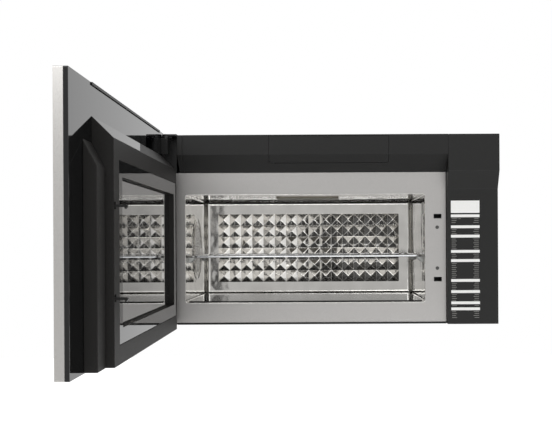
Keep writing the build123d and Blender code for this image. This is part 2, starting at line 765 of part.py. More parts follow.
# ---------------------------------------------------------------- vent blower
blower_axis = (-78.0, 345.0)  # Y and Z
wheel_radius = 40.0
scroll_inner = 46.0
scroll_spans = ((-146.0, -52.0), (52.0, 146.0))
outlet_top = 394.0
blower_blades = 22

with BuildPart() as blower_housing:
    for span in scroll_spans:
        for wall, inner in ((1.2, False), (0.0, True)):
            start = span[0] + (1.2 if inner else 0)
            width = span[1] - span[0] - (2.4 if inner else 0)
            with BuildSketch(Plane.YZ.offset(start)):
                with Locations(blower_axis):
                    RegularPolygon(scroll_inner + wall, 32)
                with Locations((middle(exhaust_y), middle((blower_axis[1], outlet_top)))):
                    Rectangle(80 + 2 * wall, outlet_top - blower_axis[1] + (2 if inner else 0))
            extrude(amount=width, mode=Mode.SUBTRACT if inner else Mode.ADD)
        drum((span[0] - 1, *blower_axis), (span[1] + 1, *blower_axis), 30, mode=Mode.SUBTRACT)
    block((scroll_spans[0][1], scroll_spans[1][0]), (-124, -32), (cavity_z[1] + 3, cavity_z[1] + 8))
save(blower_housing.part, "blower_housing")

with BuildPart() as blower_motor:
    drum((-40, *blower_axis), (40, *blower_axis), 34)
    block((-34, 34), (-104, -52), (cavity_z[1] + 8, blower_axis[1] - 20))
    rod((-41, *blower_axis), (41, *blower_axis), 4 + running_gap, mode=Mode.SUBTRACT)
save(blower_motor.part, "blower_motor")

with BuildPart() as blower_wheels:
    rod((-142, *blower_axis), (142, *blower_axis), 4)
    for span in scroll_spans:
        hub_x = span[1] - 10 if span[1] < 0 else span[0] + 8
        with BuildSketch(Plane.YZ.offset(hub_x)):
            with Locations(blower_axis):
                RegularPolygon(wheel_radius, 32)
        extrude(amount=2)
        with BuildSketch(Plane.YZ.offset(span[0] + 8)):
            with Locations(blower_axis):
                with PolarLocations(wheel_radius - 5, blower_blades):
                    Rectangle(8, 1.2, rotation=35)
        extrude(amount=span[1] - span[0] - 16)
save(blower_wheels.part, "blower_wheels")

damper_axis = (exhaust_y[1] - 5.5, outlet_top + 7.0)  # Y and Z
damper_pin = 2.0

with BuildPart() as exhaust_frame:
    with BuildSketch(Plane.XY.offset(outlet_top + 1)):
        with Locations((middle(exhaust_x), middle(exhaust_y))):
            Rectangle(exhaust_x[1] - exhaust_x[0], exhaust_y[1] - exhaust_y[0])
            Rectangle(exhaust_x[1] - exhaust_x[0] - 4, exhaust_y[1] - exhaust_y[0] - 4, mode=Mode.SUBTRACT)
    extrude(amount=top_z - outlet_top - 1)
    for x in (exhaust_x[0] + 2, exhaust_x[1] - 6):
        block((x, x + 4), (exhaust_y[0] + 2, exhaust_y[0] + 8), (outlet_top + 1, outlet_top + 5))
    rod((exhaust_x[0] - 1, *damper_axis), (exhaust_x[1] + 1, *damper_axis), damper_pin + running_gap,
        mode=Mode.SUBTRACT)
save(exhaust_frame.part, "exhaust_frame")

with BuildPart() as damper_flap:
    flap_y = (exhaust_y[0] + 3, damper_axis[0])
    block((exhaust_x[0] + 3, exhaust_x[1] - 3), flap_y, (outlet_top + 5, outlet_top + 6))
    rod((exhaust_x[0] + 0.1, *damper_axis), (exhaust_x[1] - 0.1, *damper_axis), damper_pin)
save(damper_flap.part, "damper_flap")

with BuildPart() as cord_grommet:
    with BuildSketch(Plane.XY.offset(top_z - 5)):
        with Locations(cord_hole):
            RegularPolygon(grommet_radius + 3, 24)
            Circle(cord_bore, mode=Mode.SUBTRACT)
    extrude(amount=4)
    with BuildSketch(Plane.XY.offset(top_z - 1)):
        with Locations(cord_hole):
            RegularPolygon(grommet_radius, 24)
            Circle(cord_bore, mode=Mode.SUBTRACT)
    extrude(amount=1)
save(cord_grommet.part, "cord_grommet")

# ---------------------------------------------------------------- underside
filter_frame = 8.0
mesh_size = (filter_size[0] - 2 * filter_frame, filter_size[1] - 2 * filter_frame)

for name, centre in zip(("left", "right"), filter_centres):
    with BuildPart() as grease_filter:
        with BuildSketch():
            with Locations(centre):
                Rectangle(*filter_size)
                Rectangle(*mesh_size, mode=Mode.SUBTRACT)
        extrude(amount=filter_thickness)
        with BuildSketch(Plane.XY.offset(3)):
            with Locations(centre):
                Rectangle(*mesh_size)
        extrude(amount=3)
        # pull tab at the front edge
        with BuildSketch(Plane.YZ.offset(centre[0] - 18)):
            with BuildLine():
                tab_y = centre[1] - filter_size[1] / 2
                Polyline((tab_y + 1, 0), (tab_y + 6, 0), (tab_y + 4, -3), (tab_y + 1, -3), close=True)
            make_face()
        extrude(amount=36)
    save(grease_filter.part, f"grease_filter_{name}")

with BuildPart() as lamp_lenses:
    for x, y in lens_centres:
        with BuildSketch():
            with Locations((x, y)):
                Rectangle(lens_size[0] - 0.6, lens_size[1] - 0.6)
        extrude(amount=3, taper=8)
save(lamp_lenses.part, "lamp_lenses")

with BuildPart() as cooktop_lamps:
    for x, y in lens_centres:
        with BuildSketch(Plane.XY.offset(9)):
            with Locations((x, y)):
                RegularPolygon(16, 24)
        extrude(amount=24, taper=18)
save(cooktop_lamps.part, "cooktop_lamps")

# ---------------------------------------------------------------- door, drawn closed
skin_sheet = 0.8
glass_x = (-351.0, 351.0)
glass_z = (44.0, 402.0)
glass_thickness = 4.0
door_centre_z = middle(door_z)
door_height = door_z[1] - door_z[0]

with BuildPart() as door_skin:
    with BuildSketch(Plane.XZ.offset(-liner_front_y)):
        with Locations((0, door_centre_z)):
            RectangleRounded(2 * door_half_width, door_height, 2)
            inner_size = (2 * (door_half_width - skin_sheet), door_height - 2 * skin_sheet)
            RectangleRounded(*inner_size, 1.2, mode=Mode.SUBTRACT)
    extrude(amount=skin_return - skin_sheet)
    with BuildSketch(Plane.XZ.offset(-(door_front_y + skin_sheet))):
        with Locations((0, door_centre_z)):
            RectangleRounded(2 * door_half_width, door_height, 2)
        with Locations((middle(glass_x), middle(glass_z))):
            RectangleRounded(glass_x[1] - glass_x[0], glass_z[1] - glass_z[0], 3, mode=Mode.SUBTRACT)
    extrude(amount=skin_sheet)
save_on_door(door_skin.part, "door_skin")

with BuildPart() as door_outer_glass:
    with BuildSketch(Plane.XZ.offset(-(door_front_y + glass_thickness))):
        with Locations((middle(glass_x), middle(glass_z))):
            RectangleRounded(glass_x[1] - glass_x[0] - 0.8, glass_z[1] - glass_z[0] - 0.8, 2.6)
    extrude(amount=glass_thickness)
save_on_door(door_outer_glass.part, "door_outer_glass")

# glossy inner panel: a shallow tray with a deep rim, open where the window and the control housing are
rim = 3.0
panel_thickness = 3.0
window_size = (window_x[1] - window_x[0], window_z[1] - window_z[0])
window_centre = (middle(window_x), middle(window_z))
choke_wall = 3.0

with BuildPart() as door_liner:
    with BuildSketch(Plane.XZ.offset(-door_inner_y)):
        with Locations((0, door_centre_z)):
            RectangleRounded(2 * door_half_width, door_height, 2)
    extrude(amount=liner_depth)
    with BuildSketch(Plane.XZ.offset(-(door_inner_y - panel_thickness))):
        with Locations((0, door_centre_z)):
            Rectangle(2 * (door_half_width - rim), door_height - 2 * rim)
    extrude(amount=liner_depth, mode=Mode.SUBTRACT)
    with BuildSketch(Plane.XZ.offset(-door_inner_y)):
        with Locations(window_centre):
            Rectangle(*window_size)
        with Locations((middle(control_x), 150)):
            Rectangle(control_x[1] - control_x[0] - 8, 240)
    extrude(amount=liner_depth, mode=Mode.SUBTRACT)
save_on_door(door_liner.part, "door_liner")

# deep frame that enters the body: sloped top, hollow back, window opening and a channel for the latch bar
latch_channel = (239.5, 252.0)
glass_ledge = 4.0
pane_thickness = 1.4
glass_seat_y = choke_face_y - window_recess - pane_thickness

with BuildPart() as choke_frame:
    with BuildSketch(Plane.YZ.offset(choke_x[0])):
        with BuildLine():
            Polyline(
                (door_inner_y, choke_z[0]), (choke_face_y, choke_z[0]), (choke_face_y, choke_z[1]),
                (door_inner_y, choke_crest_z), close=True,
            )
        make_face()
    extrude(amount=choke_x[1] - choke_x[0])
    with BuildSketch(Plane.YZ.offset(choke_x[0] + choke_wall)):
        with BuildLine():
            Polyline(
                (door_inner_y, choke_z[0] + choke_wall), (choke_face_y - choke_wall, choke_z[0] + choke_wall),
                (choke_face_y - choke_wall, choke_z[1] - choke_wall / 2),
                (door_inner_y, choke_crest_z - 1.5 * choke_wall), close=True,
            )
        make_face()
    extrude(amount=choke_x[1] - choke_x[0] - 2 * choke_wall - 12, mode=Mode.SUBTRACT)
    # walls of the window well, then the well itself
    block((window_x[0] - choke_wall, window_x[1] + choke_wall), (door_inner_y, choke_face_y - 2),
          (window_z[0] - choke_wall, window_z[1] + choke_wall))
    block((window_x[0] + glass_ledge, window_x[1] - glass_ledge), (door_inner_y, choke_face_y),
          (window_z[0] + glass_ledge, window_z[1] - glass_ledge), mode=Mode.SUBTRACT)
    block(window_x, (glass_seat_y, choke_face_y + 1), window_z, mode=Mode.SUBTRACT)
    block(border_x, (choke_face_y - border_step, choke_face_y + 1), border_z, mode=Mode.SUBTRACT)
    block(latch_channel, (choke_face_y - 19, choke_face_y - 7.5), (82, 262), mode=Mode.SUBTRACT)
    for height in latch_heights:
        block((latch_x - 5, latch_x + 5), (choke_face_y - 19, choke_face_y + 1), (height - 5, height + 6.5),
              mode=Mode.SUBTRACT)
save_on_door(choke_frame.part, "choke_frame")

with BuildPart() as window_glass:
    with BuildSketch(Plane.XZ.offset(-glass_seat_y)):
        with Locations(window_centre):
            RectangleRounded(window_size[0] - 0.6, window_size[1] - 0.6, 2)
    extrude(amount=-pane_thickness)
save_on_door(window_glass.part, "window_glass")

with BuildPart() as window_screen:
    with BuildSketch(Plane.XZ.offset(-(glass_seat_y - 1.5))):
        with Locations(window_centre):
            Rectangle(window_size[0] - 2 * glass_ledge - 1, window_size[1] - 2 * glass_ledge - 1)
    extrude(amount=0.6)
save_on_door(window_screen.part, "window_screen")

with BuildPart() as control_housing:
    with BuildSketch(Plane.YZ.offset(control_x[0] + 2.5)):
        with BuildLine():
            Polyline(
                (door_inner_y, door_z[0] + 1.4), (door_inner_y + control_depth, door_z[0] + 1.4),
                (door_inner_y + control_depth, control_top[0]), (door_inner_y, control_top[1]), close=True,
            )
        make_face()
    extrude(amount=control_x[1] - control_x[0] - 2.5)
    hollow_y = (door_inner_y, door_inner_y + control_depth - moulding)
    block((control_x[0] + 5, control_x[1] - moulding), hollow_y, (4, 292), mode=Mode.SUBTRACT)
save_on_door(control_housing.part, "control_housing")

with BuildPart() as control_board:
    block((control_x[0] + 8, control_x[1] - 5), (door_inner_y + 8, door_inner_y + 9.6), (34, 266))
    for z in (70, 120, 190, 235):
        block((control_x[0] + 16, control_x[0] + 32), (door_inner_y + 4, door_inner_y + 8), (z - 8, z + 8))
save_on_door(control_board.part, "control_board")

# latch bar with two hooks: it slides up against its spring while the hooks ride over the catches
hook_tip = 19.4
tip_y = choke_face_y + hook_tip
bar_y = (choke_face_y - 18, choke_face_y - 9)

with BuildPart() as latch_bar:
    block((latch_channel[0] + 0.5, latch_channel[1] - 1.5), bar_y, (84, 256))
    for height in latch_heights:
        with BuildSketch(Plane.YZ.offset(latch_x - 4)):
            with BuildLine():
                Polyline(
                    (bar_y[0], height - 2), (tip_y - 4.6, height - 2), (tip_y - 3.9, height - 4.6),
                    (tip_y - 2.4, height - 4.6), (tip_y, height - 1), (tip_y, height + 1), (tip_y - 3, height + 2),
                    (bar_y[0], height + 2), close=True,
                )
            make_face()
        extrude(amount=8)
save_on_door(latch_bar.part, "latch_bar")

with BuildPart() as hinge_blocks:
    for low, high in hinge_block_z:
        with BuildSketch(Plane.XY.offset(low)):
            with Locations((hinge_x, hinge_y)):
                Circle(eye_radius - 0.5)
            with Locations((middle((hinge_x, choke_x[0] - 1)), middle((door_inner_y, hinge_y + 6)))):
                Rectangle(choke_x[0] - 1 - hinge_x, hinge_y + 6 - door_inner_y)
            with Locations((middle((hinge_x - 7.5, hinge_x)), middle((door_inner_y, hinge_y)))):
                Rectangle(7.5, hinge_y - door_inner_y)
            with Locations((hinge_x, hinge_y)):
                Circle(pin_radius + running_gap, mode=Mode.SUBTRACT)
        extrude(amount=high - low)
save_on_door(hinge_blocks.part, "hinge_blocks")

with BuildPart() as door_top_strip:
    block((-328, 254), (door_inner_y, door_inner_y + 2), (door_z[1] - 4.6, door_z[1]))
save_on_door(door_top_strip.part, "door_top_strip")
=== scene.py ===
# %% [markdown]
# # An over-the-range microwave, from bare solids to finished surfaces
# This oven hangs under a wall cabinet, above a range. Its door covers the whole front and swings to the left.
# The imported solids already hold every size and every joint. This lesson gives them their finishes, rounds the
# edges that a mould or a press brake would round, and adds the small repeated things that catch the eye.

# %% Load the frame
import json
import math

import bmesh
import bpy
from mathutils import Matrix, Vector

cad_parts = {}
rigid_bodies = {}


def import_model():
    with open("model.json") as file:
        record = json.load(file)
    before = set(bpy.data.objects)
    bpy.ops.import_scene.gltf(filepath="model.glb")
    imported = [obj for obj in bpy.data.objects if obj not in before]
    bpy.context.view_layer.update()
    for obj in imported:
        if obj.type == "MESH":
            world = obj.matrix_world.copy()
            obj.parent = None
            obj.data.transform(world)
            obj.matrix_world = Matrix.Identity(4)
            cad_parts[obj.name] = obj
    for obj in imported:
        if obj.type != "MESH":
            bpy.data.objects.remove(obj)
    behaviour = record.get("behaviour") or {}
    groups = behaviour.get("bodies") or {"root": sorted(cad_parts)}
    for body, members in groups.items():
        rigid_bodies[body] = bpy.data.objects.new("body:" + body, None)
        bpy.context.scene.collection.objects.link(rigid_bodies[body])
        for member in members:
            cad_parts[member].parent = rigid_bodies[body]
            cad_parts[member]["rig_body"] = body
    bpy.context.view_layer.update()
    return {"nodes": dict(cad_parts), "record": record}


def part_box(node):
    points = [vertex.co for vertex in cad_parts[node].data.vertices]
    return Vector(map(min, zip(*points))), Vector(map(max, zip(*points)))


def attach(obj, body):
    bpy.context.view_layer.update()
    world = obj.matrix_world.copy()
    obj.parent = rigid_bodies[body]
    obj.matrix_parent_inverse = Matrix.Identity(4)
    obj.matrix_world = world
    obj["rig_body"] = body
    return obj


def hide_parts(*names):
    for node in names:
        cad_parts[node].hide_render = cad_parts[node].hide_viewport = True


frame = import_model()
solids = frame["nodes"]
scene = bpy.context.scene
MM = 0.001

# %% [markdown]
# ## The camera
# The photograph was taken square on, level with the oven cavity, from a little over two metres in front of the
# wall. A lens shift, not a turn, keeps the uprights parallel.

# %% Camera
EYE = Vector((0.0, -2.348, 0.185))
ROLL = -0.0052
camera = bpy.data.objects.new("camera", bpy.data.cameras.new("camera"))
camera.data.lens = 57.3
camera.data.shift_x = -0.0951
camera.data.shift_y = 0.0326
camera.matrix_world = (
    Matrix.Translation(EYE) @ Matrix.Rotation(math.radians(90), 4, "X") @ Matrix.Rotation(ROLL, 4, "Z")
)
scene.collection.objects.link(camera)
scene.camera = camera
scene.view_settings.view_transform = "Standard"
print("camera looks along +Y from", tuple(EYE))

# %% [markdown]
# ## Two small helpers
# Colours are given as sRGB values, and shaders calculate in linear light, so one function translates.
# Every node tree in this file, for surfaces and for geometry, is wired with one other function. It adds a node,
# sets its settings, and either fills an input or plugs another node's output into it.


# %% Helpers for colours and nodes
def linear(code):
    """Linear red, green, blue and alpha of an sRGB hex value."""
    parts = [int(code[at:at + 2], 16) / 255 for at in (1, 3, 5)]
    return (*[p / 12.92 if p <= 0.04045 else ((p + 0.055) / 1.055) ** 2.4 for p in parts], 1.0)


def add(tree, kind, inputs=None, **settings):
    """Adds one node to a tree. An input is given a value, or another node's output to be linked to."""
    node = tree.nodes.new(kind)
    for name, value in settings.items():
        setattr(node, name, value)
    for name, value in (inputs or {}).items():
        if isinstance(value, bpy.types.NodeSocket):
            tree.links.new(value, node.inputs[name])
        else:
            node.inputs[name].default_value = value
    return node


print("a mid grey is", [round(part, 3) for part in linear("#808080")])

# %% [markdown]
# ## A pale room
# Steel looks like what it mirrors, so for steel the room matters more than the lamps. The camera sees plain white
# everywhere, and so do metal and glass, behind the oven and at its sides. Straight behind the camera they see a
# greyer patch, which takes flat steel that faces the camera down a shade. It isn't needed against clipping: in a
# fully white room hardly a pixel more burns out. Matt surfaces get an even fill of their own.

# %% World
ROOM_FILL = 0.62
ROOM = (  # how far a direction leans away from "behind the oven", as its Y, and how bright the room is there
    (-1.0, 0.58), (-0.95, 0.68), (-0.86, 1.0), (1.0, 1.0),
)

world = bpy.data.worlds.new("pale_room")
scene.world = world
world.use_nodes = True
sky = world.node_tree
sky.nodes.clear()
ray = add(sky, "ShaderNodeLightPath")
way = add(sky, "ShaderNodeSeparateXYZ", {"Vector": add(sky, "ShaderNodeTexCoord").outputs["Generated"]})
along = add(sky, "ShaderNodeMapRange", {"Value": way.outputs["Y"], "From Min": -1.0, "From Max": 1.0})
room = add(sky, "ShaderNodeValToRGB", {"Fac": along.outputs[0]})
while len(room.color_ramp.elements) < len(ROOM):
    room.color_ramp.elements.new(0.5)
for stop, (lean, bright) in zip(room.color_ramp.elements, ROOM):
    stop.position = (lean + 1) / 2
    stop.color = (bright, bright, bright, 1.0)
sharp = add(sky, "ShaderNodeMath", {
    0: ray.outputs["Is Glossy Ray"], 1: ray.outputs["Is Transmission Ray"],
}, operation="MAXIMUM")
level = add(sky, "ShaderNodeMix", {"Factor": sharp.outputs[0], "A": ROOM_FILL, "B": room.outputs["Color"]})
seen = add(sky, "ShaderNodeMix", {"Factor": ray.outputs["Is Camera Ray"], "A": level.outputs[0], "B": 1.0})
shine = add(sky, "ShaderNodeBackground", {"Color": linear("#FFFFFF"), "Strength": seen.outputs[0]})
add(sky, "ShaderNodeOutputWorld", {"Surface": shine.outputs[0]})
print("room levels:", ROOM, "and", ROOM_FILL, "for soft fill")

# %% Floor
FLOOR_Z = -1.3
FLOOR_HALF = 9.0
PAPER_GLOW = 0.75

paper = bpy.data.materials.new("matt_white_paper")
paper.use_nodes = True
sweep = paper.node_tree
sweep.nodes.clear()
ray = add(sweep, "ShaderNodeLightPath")
matt = add(sweep, "ShaderNodeBsdfDiffuse", {"Color": linear("#E8E8E6")})
glow = add(sweep, "ShaderNodeEmission", {"Color": linear("#FFFFFF"), "Strength": PAPER_GLOW})
lift = add(sweep, "ShaderNodeAddShader", {0: matt.outputs[0], 1: glow.outputs[0]})
gone = add(sweep, "ShaderNodeBsdfTransparent")
sharp = add(sweep, "ShaderNodeMath", {
    0: ray.outputs["Is Glossy Ray"], 1: ray.outputs["Is Transmission Ray"],
}, operation="MAXIMUM")
pick = add(sweep, "ShaderNodeMixShader", {0: ray.outputs["Is Camera Ray"], 1: matt.outputs[0], 2: lift.outputs[0]})
pick = add(sweep, "ShaderNodeMixShader", {0: sharp.outputs[0], 1: pick.outputs[0], 2: gone.outputs[0]})
add(sweep, "ShaderNodeOutputMaterial", {"Surface": pick.outputs[0]})

floor_mesh = bpy.data.meshes.new("floor")
corners = [(x * FLOOR_HALF, y * FLOOR_HALF, FLOOR_Z) for x, y in ((-1, -1), (1, -1), (1, 1), (-1, 1))]
floor_mesh.from_pydata(corners, [], [(0, 1, 2, 3)])
floor_mesh.materials.append(paper)
floor = bpy.data.objects.new("floor", floor_mesh)
scene.collection.objects.link(floor)
print("floor lies", -FLOOR_Z, "m under the body's bottom")

# %% [markdown]
# ## Soft lamps
# Three large soft boxes stand in front: a pair, high on the left and on the right, and one low. They lift the
# black plastics and the face plate. The stamped wall inside the oven needs them less: with the lamps off its facets
# keep their pattern and darken by about ten grey levels in 255, because the room lights most of what they mirror.


# %% Lamps
def soft_box(name, place, target, size, power):
    """A rectangular lamp that faces a point."""
    lamp = bpy.data.objects.new(name, bpy.data.lights.new(name, "AREA"))
    lamp.data.shape = "RECTANGLE"
    lamp.data.size, lamp.data.size_y = size
    lamp.data.energy = power
    aim = Vector(target) - Vector(place)
    lamp.matrix_world = Matrix.Translation(place) @ aim.to_track_quat("-Z", "Y").to_matrix().to_4x4()
    scene.collection.objects.link(lamp)
    return lamp


MIDDLE = (0.0, -0.2, 0.2)
lamps = [
    soft_box("key_box", (-1.3, -2.7, 1.5), MIDDLE, (2.2, 1.4), 20.0),
    soft_box("pair_box", (1.3, -2.7, 1.5), MIDDLE, (2.2, 1.4), 7.0),
    soft_box("low_box", (0.3, -2.6, -0.9), MIDDLE, (1.6, 0.5), 8.0),
]
print("lamps:", [lamp.name for lamp in lamps])

# %% [markdown]
# ## Finishes
# Each finish starts from the real stuff: what it is, how its surface was made, and what that does to light. The
# solids name their finish by slot, so every material is filed under the slot that it serves. A grain helper lays
# a noise of a real size over the surface, which bends the light a little and makes the gloss uneven.


# %% Material helpers
finishes = {}
NOISE_SPAN = (0.3, 0.7)  # the part of its range in which a noise mostly stays


def new_finish(name, **values):
    """A material and its shader. Values name the shader's own sockets, with _ for a space."""
    material = bpy.data.materials.new(name)
    material.use_nodes = True
    shader = material.node_tree.nodes["Principled BSDF"]
    for socket, value in values.items():
        shader.inputs[socket.replace("_", " ")].default_value = value
    return material, shader


def material_for(slot, name, **values):
    """Starts the material of one slot. Returns its node tree and its shader."""
    finishes[slot], shader = new_finish(name, **values)
    return finishes[slot].node_tree, shader


def grain(tree, shader, size, height, rough=None, stretch=(1, 1, 1), edge=0.0, detail=2.0):
    """Lays a noise over the surface: its size and height in metres, and the roughness it swings between."""
    spot = add(tree, "ShaderNodeTexCoord").outputs["Object"]
    spot = add(tree, "ShaderNodeMapping", {"Vector": spot, "Scale": stretch}).outputs[0]
    noise = add(tree, "ShaderNodeTexNoise", {"Vector": spot, "Scale": 1 / size, "Detail": detail}).outputs["Fac"]
    bump = add(tree, "ShaderNodeBump", {"Height": noise, "Distance": height})
    if edge:
        tree.links.new(add(tree, "ShaderNodeBevel", {"Radius": edge}, samples=4).outputs[0], bump.inputs["Normal"])
    tree.links.new(bump.outputs[0], shader.inputs["Normal"])
    if rough:
        swing = add(tree, "ShaderNodeMapRange", {
            "Value": noise, "From Min": NOISE_SPAN[0], "From Max": NOISE_SPAN[1],
            "To Min": rough[0], "To Max": rough[1],
        })
        tree.links.new(swing.outputs[0], shader.inputs["Roughness"])
    return noise


def tint(tree, shader, driver, low, high, span=NOISE_SPAN):
    """Lets a driver value shift the base colour between two sRGB colours."""
    share = add(tree, "ShaderNodeMapRange", {"Value": driver, "From Min": span[0], "From Max": span[1]}).outputs[0]
    blend = add(tree, "ShaderNodeMix", {"Factor": share, "A": linear(low), "B": linear(high)}, data_type="RGBA")
    tree.links.new(blend.outputs["Result"], shader.inputs["Base Color"])


print("material helpers ready")

# %% [markdown]
# ### Black mouldings
# The vent band, its flap, the column and the trims are satin black ABS, moulded against a spark-eroded tool. The
# tool's fine pits give an even, slightly soft sheen. The door's inner panel is the same plastic from a polished
# tool, so it mirrors the room. The deep frame round the window is a stiffer, mineral-filled plastic that comes
# out greyer and quite matt.

# %% Black plastics
tree, shader = material_for("black_moulding", "satin_black_ABS", Specular_IOR_Level=0.3)
pits = grain(tree, shader, 0.0011, 0.00002, (0.36, 0.5), edge=0.0005)
tint(tree, shader, pits, "#161616", "#1C1C1B")

tree, shader = material_for("gloss_panel", "gloss_black_ABS", Base_Color=linear("#0A0B0C"), IOR=1.52)
grain(tree, shader, 0.03, 0.00001, (0.03, 0.05), edge=0.0006)

tree, shader = material_for("choke_plastic", "mineral_filled_polypropylene", Specular_IOR_Level=0.2)
pits = grain(tree, shader, 0.0014, 0.00002, (0.5, 0.62), edge=0.0008)
tint(tree, shader, pits, "#1C1B1A", "#242322")

tree, shader = material_for("grommet_rubber", "EPDM_rubber")
pits = grain(tree, shader, 0.002, 0.00005, (0.7, 0.85))
tint(tree, shader, pits, "#151515", "#1D1D1C")

tree, shader = material_for("carbon", "charcoal_granules_in_a_frame")
lumps = grain(tree, shader, 0.0035, 0.0009, (0.6, 0.9), detail=4.0)
tint(tree, shader, lumps, "#070707", "#2A2A2A")
print("black plastics:", [name for name in finishes])

# %% [markdown]
# ### Painted and coated sheet
# The wrap of the body is steel with a black powder coat, which cures with a faint orange peel. The face plate
# round the oven's mouth is silver-grey coil-coated steel: flakes in the lacquer give it a soft metallic lustre.

# %% Coated steel
tree, shader = material_for("cabinet_paint", "black_powder_coated_steel", Specular_IOR_Level=0.5)
peel = grain(tree, shader, 0.0022, 0.00006, (0.4, 0.52), edge=0.0005)
tint(tree, shader, peel, "#191919", "#222222")

tree, shader = material_for("face_silver", "silver_coil_coated_steel", Metallic=0.72)
flake = grain(tree, shader, 0.0012, 0.00001, (0.34, 0.42), edge=0.0006)
tint(tree, shader, flake, "#AEACAA", "#B8B6B4")

tree, shader = material_for("screen_metal", "black_enamel_with_painted_hole_shade", Roughness=0.4)
HOLE_PITCH = 0.0042  # the real holes are about 2 mm apart; drawn coarser so that they show
# The holes are not cut: each one is a near-black dot in the base colour. The dot is painted shade for the dark seen
# through a hole.
spot = add(tree, "ShaderNodeTexCoord").outputs["Object"]
cells = add(tree, "ShaderNodeTexVoronoi", {"Vector": spot, "Scale": 1 / HOLE_PITCH, "Randomness": 0.0})
tint(tree, shader, cells.outputs["Distance"], "#020202", "#1E1E1D", (0.3, 0.36))
print("coated steels done")

# %% [markdown]
# ### Bare metal
# The oven's lining is bright-annealed stainless: rolled to a mirror, then pressed, so its flat panels ripple a
# little and its reflections swim. The door wears brushed stainless, cut by a belt into fine parallel lines. Plated
# sheet shows spangles of zinc, and the rack is nickel-chrome plated wire.

# %% Stainless steels
tree, shader = material_for("cavity_steel", "bright_annealed_stainless", Metallic=1.0)
RIPPLE = 0.045
ripple = grain(tree, shader, RIPPLE, 0.0009, (0.06, 0.1), edge=0.001, detail=1.5)
tint(tree, shader, ripple, "#D6D4D0", "#E2E0DC")

tree, shader = material_for("door_steel", "brushed_stainless", Metallic=1.0, Anisotropic=0.3)
LINE = 0.0006  # one brushed line; real ones are finer than a pixel here
lines = grain(tree, shader, LINE, 0.00001, (0.26, 0.36), (1.0, 0.012, 1.0), edge=0.0005)
tint(tree, shader, lines, "#BDBBB8", "#CBC9C6")

tree, shader = material_for("rack_chrome", "nickel_chrome_plate", Metallic=1.0)
plate = grain(tree, shader, 0.006, 0.00002, (0.08, 0.14))
tint(tree, shader, plate, "#D6D7D9", "#E2E3E4")
print("stainless and chrome done")

# %% Plated sheet and plain metals
tree, shader = material_for("zinc_steel", "galvanised_steel", Metallic=1.0)
SPANGLE = 0.011
spot = add(tree, "ShaderNodeTexCoord").outputs["Object"]
spangles = add(tree, "ShaderNodeTexVoronoi", {"Vector": spot, "Scale": 1 / SPANGLE}, feature="SMOOTH_F1")
swing = add(tree, "ShaderNodeMapRange", {"Value": spangles.outputs["Distance"], "To Min": 0.3, "To Max": 0.48})
tree.links.new(swing.outputs[0], shader.inputs["Roughness"])
tint(tree, shader, spangles.outputs["Distance"], "#9EA1A2", "#ABAEAF", (0.1, 0.8))

for slot, name, dark, light in (
    ("inner_steel", "cold_rolled_steel", "#8D8D8B", "#A3A3A0"),
    ("inner_aluminium", "mill_finish_aluminium", "#B5B7B9", "#C9CBCC"),
    ("filter_mesh", "expanded_aluminium", "#B0B2B3", "#CDCFD0"),
):
    tree, shader = material_for(slot, name, Metallic=1.0)
    rolled = grain(tree, shader, 0.0008, 0.00001, (0.3, 0.44), (1.0, 0.05, 1.0), edge=0.0003)
    tint(tree, shader, rolled, dark, light)
print("plain metals done")

# %% [markdown]
# ### Glass and the rest
# Four kinds of glass matter. The door's outside is toughened glass printed black on its back. The pane inside
# the door is tinted, and from the side it mirrors the oven like polished stone, because glass reflects more and
# more at a glancing angle. The oven's floor is dark glass-ceramic. The lamps' lenses are frosted.

# %% Glasses
tree, shader = material_for("dark_glass", "black_backed_toughened_glass", Base_Color=linear("#08090A"), IOR=1.52)
grain(tree, shader, 0.09, 0.00001, (0.015, 0.03), edge=0.0005)

tree, shader = material_for(
    "window_pane", "tinted_float_glass", Base_Color=linear("#0B0B0B"), IOR=1.52, Coat_Weight=1.0, Coat_IOR=1.5,
    Coat_Roughness=0.02,
)
grain(tree, shader, 0.12, 0.00001, (0.02, 0.035))

tree, shader = material_for("floor_glass", "dark_glass_ceramic", IOR=1.54)
specks = grain(tree, shader, 0.0016, 0.00001, (0.05, 0.1), detail=3.0)
tint(tree, shader, specks, "#0E0D0C", "#2B2926", (0.55, 0.62))

tree, shader = material_for(
    "lens_glass", "frosted_borosilicate", Base_Color=linear("#E9E9E4"), IOR=1.47, Transmission_Weight=0.55,
)
grain(tree, shader, 0.0015, 0.00006, (0.22, 0.34))
print("glasses done")

# %% Board, windings, mica and inner plastic
tree, shader = material_for("mica", "silicone_bonded_mica_sheet", IOR=1.56)
flakes = grain(tree, shader, 0.004, 0.00005, (0.3, 0.6), detail=4.0)
tint(tree, shader, flakes, "#6E675A", "#8A8272")

tree, shader = material_for("inner_plastic", "light_grey_PBT", Specular_IOR_Level=0.5)
pits = grain(tree, shader, 0.0012, 0.00002, (0.4, 0.52), edge=0.0005)
tint(tree, shader, pits, "#A9AAA8", "#BDBEBC")

tree, shader = material_for("copper_wound", "varnished_copper_windings", Metallic=0.6)
turns = grain(tree, shader, 0.0012, 0.0002, (0.3, 0.42), (1.0, 1.0, 0.05))
tint(tree, shader, turns, "#6B3417", "#A8602F")

tree, shader = material_for("board_green", "solder_masked_circuit_board", IOR=1.5)
tracks = grain(tree, shader, 0.003, 0.00003, (0.18, 0.3), (1.0, 1.0, 0.12), detail=0.0)
tint(tree, shader, tracks, "#0D3A1E", "#1C6A3A", (0.48, 0.52))

slots = {name: node.data.materials[0].name for name, node in solids.items()}
for name, node in solids.items():
    node.data.materials[0] = finishes[slots[name]]
print("finishes:", len(finishes), "given to", len(solids), "solids")

# %% [markdown]
# ## Rounding what a mould rounds
# No moulded or folded edge is sharp: a bright hairline along each edge is what tells the eye how thick the wall
# is. The solids stay as they are, so a copy is cleaned of its doubled points and its split flats, gets a bevel
# of a real radius, and then stands for the solid.


